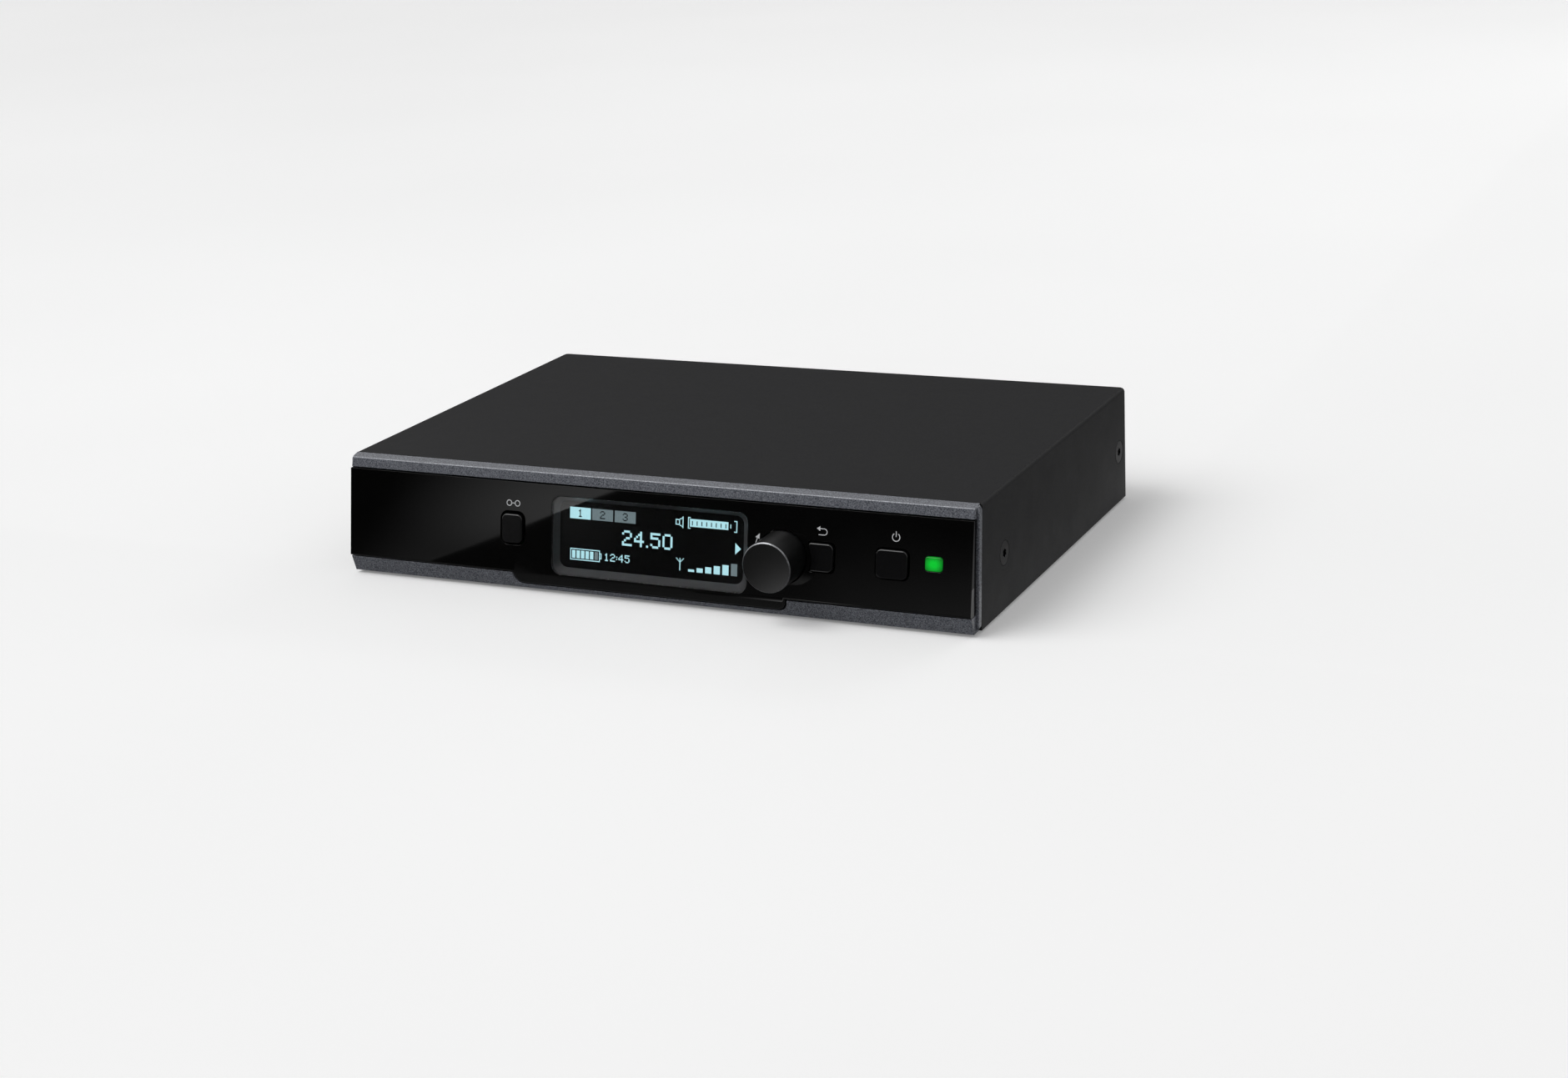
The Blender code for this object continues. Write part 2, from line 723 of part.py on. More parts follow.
def front_bezel():
    """Painted frame: two bars, two side cheeks, arms for the front board and the side screws."""
    head, foot = casing_height, 0.0
    step = bar_step / cos(panel_lean)
    seat_head = panel_head_z + gap
    seat_foot = panel_foot_z - gap
    outline = [
        (joint_y(head) - gap, head), (ridge_y, head - ridge_drop),
        (panel_y(seat_head) + step, seat_head), (panel_y(seat_foot) + step, seat_foot),
        (bar_foot_y, foot), (joint_y(foot) - gap, foot),
    ]
    bezel = place("front_bezel", prism_x(outline, -half_width - sheet, half_width + sheet), fleck_paint)
    band = rounded_rectangle((0, casing_height / 2), casing_width, casing_height, cheek_corner_radius)
    shape_with(bezel, prism_y(band, -casing_depth, casing_depth), "INTERSECT")
    seat_back = panel_thickness / cos(panel_lean) + gap
    seat = [(panel_y(z) + back, z) for z, back in (
        (seat_foot, -5 * panel_thickness), (seat_head, -5 * panel_thickness),
        (seat_head, seat_back), (seat_foot, seat_back))]
    cut(bezel, prism_x(seat, -casing_width, casing_width))
    return_x = bar_half - panel_side_thickness - gap
    for side in (-1, 1):
        notch = [(side * x, z) for x, z in (
            (bar_half, -sheet), (casing_width, -sheet), (casing_width, head + sheet), (bar_half, head + sheet),
            (bar_half, seat_head), (return_x, seat_head), (return_x, seat_foot), (bar_half, seat_foot))]
        cut(bezel, prism_y(notch, -casing_depth, cheek_y))
    opening = half_width - bezel_side_wall
    cut(bezel, block((-opening, opening), (-casing_depth, casing_depth),
                     (bezel_rim_foot, casing_height - bezel_rim_head)))
    combine(bezel, chin_solid("bezel_chin_pocket", gap, 4 * panel_thickness), "DIFFERENCE")
    for side in (-1, 1):
        inner, outer = sorted((side * opening, side * (opening + bezel_arm_thickness)))
        arm = block((inner, outer), (joint_y(bezel_arm_low) - sheet, bezel_arm_reach),
                    (bezel_arm_low, bezel_arm_low + bezel_arm_height))
        add(bezel, arm)
        hole = screw_hole(side_screw_shank + gap)
        cut(bezel, hole, at=(side * (opening + bezel_arm_thickness), side_screw_front_y, side_screw_z),
            towards="+X")


def front_panel():
    """Gloss panel with side returns, a chin below the display and every opening cut along Y."""
    back = panel_thickness / cos(panel_lean)
    outline = [(panel_y(panel_foot_z), panel_foot_z), (panel_y(panel_head_z), panel_head_z),
               (panel_y(panel_head_z) + back, panel_head_z), (panel_y(panel_foot_z) + back, panel_foot_z)]
    panel = place("front_panel", prism_x(outline, -bar_half, bar_half), gloss_black, smooth=20)
    for side in (-1, 1):
        inner, outer = sorted((side * bar_half, side * (bar_half - panel_side_thickness)))
        face = ((inner, panel_foot_z), (outer, panel_foot_z), (outer, panel_head_z), (inner, panel_head_z))
        add(panel, prism_y(face, panel_y, lambda z: cheek_y(z) - gap))
    combine(panel, chin_solid("panel_chin"), "UNION")
    window = rounded_rectangle((window_x, window_rise), window_width, window_height, window_radius)
    leaned = ring_mesh([[(x, y, z) for x, z in window] for y in (-2 * panel_thickness, 3 * panel_thickness)])
    cut(panel, leaned, at=(0, panel_foot_y, panel_foot_z), lean=-panel_lean)
    through = (-casing_depth, casing_depth)
    for x, width, height, fit, scoop in buttons.values():
        cut(panel, prism_y(button_outline(x, width, height, fit, scoop), *through))
    cut(panel, prism_y(circle((knob_x, knob_z), knob_radius + knob_clearance, 40), *through))
    light = rounded_rectangle((light_x, lean_z(light_rise)), light_width + 2 * light_clearance,
                              light_height * cos(panel_lean) + 2 * light_clearance,
                              light_radius + light_clearance)
    cut(panel, prism_y(light, *through))


def display():
    """Flush clear window, slanted frame behind it and the screen, all on the panel's lean."""
    seat = dict(at=(0, panel_foot_y, panel_foot_z), lean=-panel_lean)

    def drawn_in(share, extra):
        """Centre, width and height of the window drawn in by a share of the frame's slants."""
        left, right = share * frame_inset_left + extra, share * frame_inset_right + extra
        foot, head = share * frame_inset_foot + extra, share * frame_inset_head + extra
        centre = (window_x + (left - right) / 2, window_rise + (foot - head) / 2)
        return centre, window_width - left - right, window_height - foot - head

    fit = window_clearance
    glass = rounded_rectangle(*drawn_in(0, fit), window_radius - fit)
    place("display_window", ring_mesh([[(x, y, z) for x, z in glass] for y in (0, window_thickness)]),
          clear, **seat)
    near = window_thickness + gap
    mid = frame_depth / 2 + near / 2
    radius_in = window_radius - frame_inset_head
    section = [
        (0, fit, window_radius - fit, near),
        (0, fit, window_radius - fit, frame_depth + frame_wall / 2),
        (1, 0, radius_in, frame_depth + frame_wall / 2),
        (1, 0, radius_in, frame_depth),
        (0.5, fit, (window_radius + radius_in) / 2, mid),
        (0, 2 * fit, window_radius - 2 * fit, near),
    ]
    rings = [[(x, y, z) for x, z in rounded_rectangle(*drawn_in(share, extra), radius)]
             for share, extra, radius, y in section]
    place("display_frame", ring_mesh(rings, loop=True), dark_frame, smooth=30, **seat)
    screen_front = frame_depth + frame_wall / 2 + gap
    edge = rounded_rectangle(*drawn_in(1, -screen_margin), gap, 1)
    screen = ring_mesh([[(x, y, z) for x, z in edge] for y in (screen_front, screen_front + screen_thickness)])
    place("display_module", screen, screen_black, **seat)


def push_buttons():
    """Each button: leaning cap, flange behind the panel and stem; its switch and plunger behind."""
    z = lean_z(button_rise)
    plunger_front = switch_front_y - switch_plunger_proud
    plunger_back = plunger_front + switch_plunger_length + switch_plunger_proud
    for name, (x, width, height, fit, scoop) in buttons.items():
        rim = fit + button_flange
        flange_front = panel_back_y(z + height / 2 + rim) + gap
        flange_back = flange_front + button_flange_thickness
        outline = button_outline(x, width, height, 0.0, scoop)
        local = [(px - x, pz - z) for px, pz in outline]
        front_ring = [(px, panel_y(z + pz) - button_proud, pz) for px, pz in local]
        back_ring = [(px, flange_front + button_flange_thickness / 2, pz) for px, pz in local]
        cap = ring_mesh([front_ring, back_ring])
        bevel(cap, lambda e: all(v.co.y < panel_y(z + v.co.z) - button_proud / 2 for v in e.verts),
              button_chamfer)
        body = place(name + "_button", cap, satin_plastic, at=(x, 0, z), smooth=25)
        wide = width / 2 + rim
        left = x - knob_x - scoop - gap if scoop else wide
        add(body, block((x - left, x + wide), (flange_front, flange_back),
                        (z - height / 2 - rim, z + height / 2 + rim)))
        stem = turned([(button_stem_radius, 0), (button_stem_radius, plunger_front - gap - flange_front)],
                      steps=12)
        add(body, stem, at=(x, flange_front, z), towards="+Y")
        place(name + "_plunger", turned([(switch_plunger_radius, 0),
                                         (switch_plunger_radius, plunger_back - plunger_front)], steps=12),
              dark_frame, at=(x, plunger_front, z), towards="+Y", smooth=30)
        switch = place(name + "_switch", centred_block(switch_size, switch_depth, switch_size),
                       switch_plastic, at=(x, switch_front_y + switch_depth / 2, z))
        well = turned([(switch_plunger_radius + gap, -sheet),
                       (switch_plunger_radius + gap, switch_plunger_length + button_travel + gap)], steps=12)
        cut(switch, well, at=(x, switch_front_y, z), towards="+Y")


def status_light():
    """Light pipe through the panel and the lamp chip behind it on the front board."""
    z = lean_z(light_rise)
    pipe = rounded_rectangle((light_x, z), light_width, light_height * cos(panel_lean), light_radius)
    lamp_front = front_board_y - gap - chip_depth
    body = prism_y(pipe, lambda level: panel_y(level) - light_clearance, lamp_front - gap)
    place("light_pipe", body, glow_green, smooth=30)
    place("status_lamp", centred_block(chip_width, chip_depth, chip_height), chip_plastic,
          at=(light_x, lamp_front + chip_depth / 2, z))


def shaft_outline(radius, flat, steps=24):
    """D-shaped outline: a circle with a flat on its upper side."""
    level = radius - flat
    return [(x, min(z, level)) for x, z in circle((0, 0), radius, steps)]


def knob_and_encoder():
    """Knob on a D shaft that turns in a rotor and pushes through it into the encoder's body."""
    knob_back_y = knob_front_y + knob_length
    profile = [(knob_radius - knob_chamfer, 0), (knob_radius, knob_chamfer), (knob_radius, knob_length)]
    axis = (knob_x, knob_front_y, knob_z)
    knob = place("control_knob", turned(profile, steps=40), knob_plastic, at=axis, towards="+Y", smooth=30)

    def shaft_bar(front, back, extra):
        outline = [(knob_x + x, knob_z + z) for x, z in shaft_outline(shaft_radius + extra, shaft_flat)]
        return prism_y(outline, front, back)

    cut(knob, shaft_bar(shaft_front_y - gap, knob_back_y + sheet, gap))
    bar = prism_y(shaft_outline(shaft_radius, shaft_flat), 0, shaft_back_y - shaft_front_y)
    place("encoder_shaft", bar, plating, at=(knob_x, shaft_front_y, knob_z), smooth=30)
    rotor = place("encoder_rotor", turned([(rotor_radius, 0), (rotor_radius, rotor_thickness)]), dark_frame,
                  at=(knob_x, rotor_front_y, knob_z), towards="+Y", smooth=30)
    cut(rotor, shaft_bar(rotor_front_y - sheet, rotor_front_y + rotor_thickness + sheet, gap))
    body = place("encoder_body", centred_block(encoder_size, encoder_depth, encoder_size), can_metal,
                 at=(knob_x, encoder_front_y + encoder_depth / 2, knob_z))
    add(body, turned([(bushing_radius, 0), (bushing_radius, bushing_length + encoder_front_wall / 2)]),
        at=(knob_x, bushing_front_y, knob_z), towards="+Y")
    cut(body, turned([(shaft_radius + gap, -sheet), (shaft_radius + gap, encoder_depth)]),
        at=(knob_x, bushing_front_y, knob_z), towards="+Y")
    chamber = turned([(rotor_radius + gap, 0), (rotor_radius + gap, cavity_back_y - rotor_front_y + gap)])
    cut(body, chamber, at=(knob_x, rotor_front_y - gap, knob_z), towards="+Y")


# ---------------------------------------------------------------- boards and electronics
def boards():
    """Front board behind the panel, main board on the spacers, ribbon between them."""
    place("front_board", centred_block(2 * front_board_half, board_thickness, front_board_height),
          board_green, at=(0, front_board_y + board_thickness / 2, front_board_centre_z))
    length = main_board_back_y - main_board_front_y
    board = place("main_board", centred_block(2 * main_board_half, length, board_thickness), board_green,
                  at=(0, main_board_front_y + length / 2, board_low + board_thickness / 2))
    for x, y in board_screw_places():
        shank = board_screw_shank + gap
        cut(board, turned([(shank, -sheet), (shank, board_thickness + sheet)], steps=12),
            at=(x, y, board_low))
    for number, (x, y) in enumerate(board_screw_places(), start=1):
        head = board_screw_head
        profile = [(board_screw_shank, -board_screw_length), (board_screw_shank, gap), (head, gap),
                   (head, board_screw_head_height / 2), (head * 0.7, board_screw_head_height)]
        place("board_screw_%d" % number, turned(profile, steps=14), zinc, at=(x, y, board_top), smooth=30)


def ribbon_cable():
    """Flat cable that leaves the front board backwards and bends down onto the main board."""
    start_y = front_board_back_y + gap
    end_y = start_y + ribbon_reach
    outer, inner = [], []
    for step in range(round_steps + 3):
        angle = pi / 2 * (1 - step / (round_steps + 2))
        outer.append((end_y - ribbon_radius + ribbon_radius * cos(angle),
                      ribbon_start_z - ribbon_radius + ribbon_radius * sin(angle)))
        small = ribbon_radius - ribbon_thickness
        inner.append((end_y - ribbon_radius + small * cos(angle),
                      ribbon_start_z - ribbon_radius + small * sin(angle)))
    outline = [(start_y, ribbon_start_z)] + outer + [(end_y, parts_low)]
    outline += [(end_y - ribbon_thickness, parts_low)] + inner[::-1]
    outline += [(start_y, ribbon_start_z - ribbon_thickness)]
    place("ribbon_cable", prism_x(outline, ribbon_x - ribbon_width / 2, ribbon_x + ribbon_width / 2),
          ribbon_grey, smooth=30)


def radio():
    """Radio module board with its screening can, and a coaxial lead to each aerial socket."""
    board_z = parts_low + radio_board_thickness / 2
    place("radio_board", centred_block(radio_width, radio_depth, radio_board_thickness), board_green,
          at=(radio_x, radio_y, board_z))
    can_low = parts_low + radio_board_thickness + gap
    can = place("radio_can", centred_block(can_width, can_depth, can_height), can_metal,
                at=(radio_x, radio_y, can_low + can_height / 2))
    cut(can, centred_block(can_width - 2 * can_wall, can_depth - 2 * can_wall, can_height),
        at=(radio_x, radio_y, can_low + can_height / 2 - can_wall))
    height = can_low + can_height / 2
    leave_y = radio_y + can_depth / 2 + gap
    straight = 8 * lead_radius
    arrive_y = rear_panel_inner_y - gap - aerial_body_depth - gap
    left_x, right_x = radio_x - can_width / 4, radio_x + can_width / 4
    coaxial("left_aerial_lead", [
        (left_x, leave_y, height), (left_x, leave_y + straight / 2, height),
        (left_x, leave_y + straight, height),
        ((left_x - aerial_x) / 2, (leave_y + arrive_y) / 2, (height + aerial_z) / 2),
        (-aerial_x, arrive_y - 2 * straight, aerial_z), (-aerial_x, arrive_y - straight, aerial_z),
        (-aerial_x, arrive_y, aerial_z)])
    coaxial("right_aerial_lead", [
        (right_x, leave_y, height), (right_x, leave_y + straight / 2, height),
        (right_x, leave_y + straight, height),
        (right_x + 3 * straight, lead_lane_y, lead_lane_z), (processor_x, lead_lane_y, lead_lane_z),
        (aerial_x - 3 * straight, lead_lane_y, lead_lane_z),
        (aerial_x, arrive_y - 2 * straight, aerial_z), (aerial_x, arrive_y - straight, aerial_z),
        (aerial_x, arrive_y, aerial_z)])


def smooth_route(points, spacing):
    """Points along a Catmull-Rom curve through the route, about one spacing apart."""
    chain = [Vector(p) for p in points]
    chain = [2 * chain[0] - chain[1]] + chain + [2 * chain[-1] - chain[-2]]
    route = []
    for a, b, c, d in zip(chain, chain[1:], chain[2:], chain[3:]):
        count = max(2, round((c - b).length / spacing))
        for step in range(count):
            t = step / count
            route.append(0.5 * (2 * b + (c - a) * t + (2 * a - 5 * b + 4 * c - d) * t ** 2
                                + (3 * b - 3 * c + d - a) * t ** 3))
    route.append(chain[-2])
    return route


def coaxial(name, points):
    """Thin round lead along a smooth route, with closed ends."""
    curve = bpy.data.curves.new(name, "CURVE")
    curve.dimensions = "3D"
    curve.bevel_depth = lead_radius
    curve.bevel_resolution = 1
    curve.use_fill_caps = True
    spline = curve.splines.new("POLY")
    route = smooth_route(points, 8 * lead_radius)
    spline.points.add(len(route) - 1)
    for point, place_on in zip(spline.points, route):
        point.co = (*place_on, 1)
    curve.materials.append(sleeve_grey)
    lead = bpy.data.objects.new(name, curve)
    bpy.context.scene.collection.objects.link(lead)
    lead.parent = origin


def board_components():
    """Chips, coil and capacitors that stand on the main board."""
    converter_y = rear_panel_inner_y - converter_inset
    coil_x, coil_y = half_width - coil_side_inset, rear_panel_inner_y - coil_rear_inset
    chips = (("signal_processor", processor_x, processor_y, processor_size, processor_height, chip_plastic),
             ("audio_converter", converter_x, converter_y, converter_size, converter_height, chip_plastic),
             ("power_coil", coil_x, coil_y, coil_size, coil_height, dark_frame))
    for name, x, y, size, height, look in chips:
        place(name, centred_block(size, size, height), look, at=(x, y, parts_low + height / 2))
    for number, (side_inset, rear_inset) in enumerate(capacitor_insets, start=1):
        can = turned([(capacitor_radius, 0), (capacitor_radius, capacitor_height)], steps=16)
        at = (half_width - side_inset, rear_panel_inner_y - rear_inset, parts_low)
        place("capacitor_%d" % number, can, capacitor_sleeve, at=at, smooth=30)


# ---------------------------------------------------------------- rear sockets
def xlr_screw_places():
    return [(xlr_x + side * xlr_screw_side, xlr_z + side * xlr_screw_rise) for side in (-1, 1)]


def socket_body(name, x, z, width, height, depth, look):
    """Block that stands on the main board with its back against the rear panel."""
    y = rear_panel_inner_y - gap - depth / 2
    return place(name, centred_block(width, depth, height), look, at=(x, y, z))


def balanced_output():
    """Three-pin socket: moulded shell, contact carrier with its pins, two panel screws."""
    shell = socket_body("xlr_socket", xlr_x, xlr_z, xlr_body_width, xlr_body_height, xlr_body_depth,
                        satin_plastic)
    mouth_y = rear_panel_outer_y + xlr_proud
    front = rear_panel_inner_y - gap
    add(shell, turned([(xlr_shell_radius, -sheet), (xlr_shell_radius, mouth_y - front)], steps=32),
        at=(xlr_x, front, xlr_z), towards="+Y")
    cut(shell, turned([(xlr_bore_radius, -xlr_bore_depth), (xlr_bore_radius, sheet)], steps=32),
        at=(xlr_x, mouth_y, xlr_z), towards="+Y")
    floor_y = mouth_y - xlr_bore_depth + gap
    carrier = place("xlr_contacts", turned([(xlr_bore_radius - gap, 0),
                                            (xlr_bore_radius - gap, xlr_base_thickness)]),
                    chip_plastic, at=(xlr_x, floor_y, xlr_z), towards="+Y", smooth=30)
    for pin in range(3):
        angle = radians(90 + 120 * pin)
        centre = (xlr_x + xlr_pin_circle * cos(angle), xlr_z + xlr_pin_circle * sin(angle))
        tip = floor_y + xlr_base_thickness + xlr_pin_length
        add(carrier, prism_y(circle(centre, xlr_pin_radius, 12), floor_y + xlr_base_thickness / 2, tip))
    head_y = rear_panel_outer_y + gap
    for number, (x, z) in enumerate(xlr_screw_places(), start=1):
        cut(shell, turned([(xlr_screw_shank + gap, -xlr_screw_length - 2 * gap), (xlr_screw_shank + gap, 0)],
                          steps=12), at=(x, head_y, z), towards="+Y")
        profile = [(xlr_screw_shank, -xlr_screw_length), (xlr_screw_shank, 0), (xlr_screw_head, 0),
                   (xlr_screw_head, xlr_screw_head_height / 2),
                   (xlr_screw_head * 0.7, xlr_screw_head_height)]
        place("socket_screw_%d" % number, turned(profile, steps=16), black_zinc, at=(x, head_y, z),
              towards="+Y", smooth=30)


def unbalanced_output():
    """6.35 mm jack socket with a threaded collar and its nut."""
    body = socket_body("jack_socket", jack_x, jack_z, jack_body_width, jack_body_height, jack_body_depth,
                       satin_plastic)
    front = rear_panel_inner_y - gap
    add(body, turned([(jack_thread_radius, -sheet), (jack_thread_radius, jack_thread_length)]),
        at=(jack_x, front, jack_z), towards="+Y")
    cut(body, turned([(jack_bore_radius, -jack_bore_depth), (jack_bore_radius, sheet)]),
        at=(jack_x, front + jack_thread_length, jack_z), towards="+Y")
    hexagon_nut("jack_nut", jack_x, jack_z, jack_nut_radius, jack_nut_thickness, jack_thread_radius)


def hexagon_nut(name, x, z, radius, thickness, thread):
    """Hexagonal nut on the outer face of the rear panel."""
    nut = place(name, turned([(radius, 0), (radius, thickness)], steps=6), plating,
                at=(x, rear_panel_outer_y + gap, z), towards="+Y")
    cut(nut, turned([(thread + gap, -sheet), (thread + gap, thickness + sheet)]),
        at=(x, rear_panel_outer_y + gap, z), towards="+Y")


def aerial_sockets():
    """Screw-on aerial sockets at both ends, each with its nut."""
    front = rear_panel_inner_y - gap
    for side, name in ((-1, "left"), (1, "right")):
        x = side * aerial_x
        socket = socket_body(name + "_aerial_socket", x, aerial_z, aerial_body, aerial_body,
                             aerial_body_depth, gold)
        add(socket, turned([(aerial_thread_radius, -sheet), (aerial_thread_radius, aerial_thread_length)],
                           steps=16), at=(x, front, aerial_z), towards="+Y")
        bore = turned_ring([(aerial_pin_radius, -aerial_bore_depth), (aerial_bore_radius, -aerial_bore_depth),
                            (aerial_bore_radius, sheet), (aerial_pin_radius, sheet)], steps=16)
        cut(socket, bore, at=(x, aerial_tip_y, aerial_z), towards="+Y")
        hexagon_nut(name + "_aerial_nut", x, aerial_z, aerial_nut_radius, aerial_nut_thickness,
                    aerial_thread_radius)


def power_and_data():
    """Direct-current inlet with its centre pin, data port, and the hook that holds the supply lead."""
    reach = power_inlet_depth + sheet + gap
    mouth_y = rear_panel_outer_y
    inlet = place("power_inlet", centred_block(power_inlet_width, reach, power_inlet_height), satin_plastic,
                  at=(power_inlet_x, mouth_y - reach / 2, power_inlet_z))
    bore = turned_ring([(power_inlet_pin, -power_inlet_bore_depth), (power_inlet_bore, -power_inlet_bore_depth),
                        (power_inlet_bore, sheet), (power_inlet_pin, sheet)], steps=24)
    cut(inlet, bore, at=(power_inlet_x, mouth_y, power_inlet_z), towards="+Y")
    reach = data_port_depth + sheet + gap
    port = place("data_port", centred_block(data_port_width, reach, data_port_height), plating,
                 at=(data_port_x, mouth_y - reach / 2, data_port_z))
    cut(port, centred_block(data_port_width - 2 * data_port_wall, reach, data_port_height - 2 * data_port_wall),
        at=(data_port_x, mouth_y - reach / 2 + 2 * data_port_wall, data_port_z))
    near = rear_panel_outer_y + gap
    low = power_inlet_z - hook_height / 2
    inner = near + hook_thickness
    outer = inner + hook_space
    far = outer + hook_thickness
    outline = [(near, low), (far, low), (far, low + hook_thickness + hook_lip),
               (outer, low + hook_thickness + hook_lip), (outer, low + hook_thickness),
               (inner, low + hook_thickness), (inner, low + hook_height), (near, low + hook_height)]
    place("cable_hook", prism_x(outline, hook_x, hook_x + hook_width), black_zinc)


top_cover()
base_chassis()
rear_panel()
side_fasteners()
feet()
front_bezel()
front_panel()
display()
push_buttons()
status_light()
knob_and_encoder()
boards()
ribbon_cable()
radio()
board_components()
balanced_output()
unbalanced_output()
aerial_sockets()
power_and_data()

for mesh in bpy.data.meshes:
    mesh.validate()
print("receiver:", len([o for o in bpy.data.objects if o.type != "EMPTY" and not o.hide_render]), "pieces")
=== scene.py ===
from math import cos, hypot, pi, radians, sin, tan

import bpy
import bmesh
from mathutils import Matrix, Vector


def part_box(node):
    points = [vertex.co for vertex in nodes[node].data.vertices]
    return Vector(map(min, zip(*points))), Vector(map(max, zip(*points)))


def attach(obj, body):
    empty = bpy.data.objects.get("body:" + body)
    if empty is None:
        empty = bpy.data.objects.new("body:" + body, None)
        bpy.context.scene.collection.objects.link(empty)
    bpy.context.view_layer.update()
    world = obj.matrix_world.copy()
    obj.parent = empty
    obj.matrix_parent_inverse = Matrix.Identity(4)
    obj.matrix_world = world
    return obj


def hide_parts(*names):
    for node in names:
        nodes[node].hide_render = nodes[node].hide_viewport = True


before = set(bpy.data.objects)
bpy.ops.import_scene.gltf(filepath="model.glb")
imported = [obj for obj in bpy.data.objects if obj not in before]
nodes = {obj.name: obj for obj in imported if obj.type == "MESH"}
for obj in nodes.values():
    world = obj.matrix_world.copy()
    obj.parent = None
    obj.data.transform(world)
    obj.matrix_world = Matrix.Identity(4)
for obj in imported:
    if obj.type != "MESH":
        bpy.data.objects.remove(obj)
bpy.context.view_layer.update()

# Shapes are drawn in millimetres in the casing's own frame: y is 0 at the cover's upper front edge
# and z is 0 at the casing's underside. The function piece moves them to the model's frame.
mm = 0.001
coverLow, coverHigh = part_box("top_cover")
casing = {"width": coverHigh.x * 2 / mm, "height": (coverHigh.z - coverLow.z) / mm, "depth": 134.0,
          "jointLean": 3.6, "sheet": 1.0, "gap": 0.3}
casingShift = Vector((0, coverHigh.y - casing["depth"] * mm, coverLow.z))
halfWidth = casing["width"] / 2
height = casing["height"]

panel = {"lean": radians(10.7), "footY": -10.0, "footZ": 5.5, "headZ": height - 4.0, "half": halfWidth - 0.8,
         "thick": 2.0, "returnWall": 1.3, "edge": 0.3, "footEdge": 0.65, "holeEdge": 0.18}
bar = {"footY": -7.9, "step": 0.4}
chin = {"x": 0.8, "half": 46.3, "drawnIn": 0.6, "foot": 1.8, "round": 2.5}


def jointY(z):  # front edge of the cover
    return -casing["jointLean"] * (height - z) / height


def faceY(z):  # front of the leaning panel
    return panel["footY"] + (z - panel["footZ"]) * tan(panel["lean"])


def riseZ(rise):  # height of a point that lies this far up the panel
    return panel["footZ"] + rise * cos(panel["lean"])


def barY(z):  # front of the lower bar
    top = panel["footY"] + bar["step"]
    return bar["footY"] + (top - bar["footY"]) * z / panel["footZ"]


# ---- materials
def linear(hexColour):
    channels = [int(hexColour[i:i + 2], 16) / 255 for i in (0, 2, 4)]
    return [c / 12.92 if c <= 0.04045 else ((c + 0.055) / 1.055) ** 2.4 for c in channels] + [1.0]


def perMetre(size):  # a noise scale from the size of its grain in millimetres
    return 1 / (size * mm)


def addNode(tree, kind, values=None, links=None, **settings):
    node = tree.nodes.new("ShaderNode" + kind)
    for name, value in settings.items():
        setattr(node, name, value)
    for name, value in (values or {}).items():
        node.inputs[name].default_value = value
    for name, output in (links or {}).items():
        tree.links.new(output, node.inputs[name])
    return node


def newMaterial(name, colour, roughness, **values):
    material = bpy.data.materials.new(name)
    material.use_nodes = True
    shader = material.node_tree.nodes["Principled BSDF"]
    shader.inputs["Base Color"].default_value = linear(colour)
    shader.inputs["Roughness"].default_value = roughness
    for socket, value in values.items():
        shader.inputs[socket.replace("_", " ")].default_value = value
    return material, material.node_tree, shader


def grained(tree, shader, size=None, tones=None, spread=(0.3, 0.7), gloss=None, relief=None, detail=2.0,
            pattern=None, onto="Base Color"):
    # A noise in the piece's own space, or the given pattern, that can shade the colour, vary the roughness
    # and raise the surface. size is the width of the grain and relief its height, both in millimetres.
    if pattern is None:
        spot = addNode(tree, "TexCoord").outputs["Object"]
        pattern = addNode(tree, "TexNoise", values={"Scale": perMetre(size), "Detail": detail},
                          links={"Vector": spot}).outputs["Fac"]
    if tones:
        ramp = addNode(tree, "ValToRGB", links={"Fac": pattern})
        for stop, place, tone in zip(ramp.color_ramp.elements, spread, tones):
            stop.position = place
            stop.color = linear(tone)
        tree.links.new(ramp.outputs["Color"], shader.inputs[onto])
    if gloss:
        low, high = gloss
        sheen = addNode(tree, "MapRange", values={"To Min": low, "To Max": high}, links={"Value": pattern})
        tree.links.new(sheen.outputs["Result"], shader.inputs["Roughness"])
    if relief:
        bump = addNode(tree, "Bump", values={"Strength": 1.0, "Distance": relief * mm},
                       links={"Height": pattern})
        tree.links.new(bump.outputs["Normal"], shader.inputs["Normal"])


def powderCoat():  # polyester powder on steel: satin, with a fine sandy grain and a soft orange peel
    material, tree, shader = newMaterial("satinPowderCoat", "1f1f20", 0.55, Specular_IOR_Level=0.16)
    grained(tree, shader, 0.45, tones=("1c1c1d", "242425"), relief=0.012, detail=3.0)
    grained(tree, shader, 9.0, gloss=(0.5, 0.6))
    return material


def zincPlate():  # bright zinc on cold-rolled sheet: grey metal with a cloudy sheen
    material, tree, shader = newMaterial("zincPlatedSheet", "9a9ca0", 0.36, Metallic=1.0)
    grained(tree, shader, 7.0, tones=("8c8f94", "a6a8ab"), detail=4.0)
    grained(tree, shader, 2.5, gloss=(0.30, 0.44))
    grained(tree, shader, 0.6, relief=0.004)
    return material


def fleckPaint():  # metallic lacquer on die-cast metal: pale flakes in a blue-grey ground
    material, tree, shader = newMaterial("greyMetallicPaint", "484b52", 0.42, Metallic=0.3, Coat_Weight=0.8,
                                         Coat_Roughness=0.12)
    # real flakes are near 0.05 mm; drawn coarser so that they show
    grained(tree, shader, 0.36, tones=("363940", "80838b"), spread=(0.36, 0.68), gloss=(0.50, 0.36),
            relief=0.008, detail=6.0)
    return material


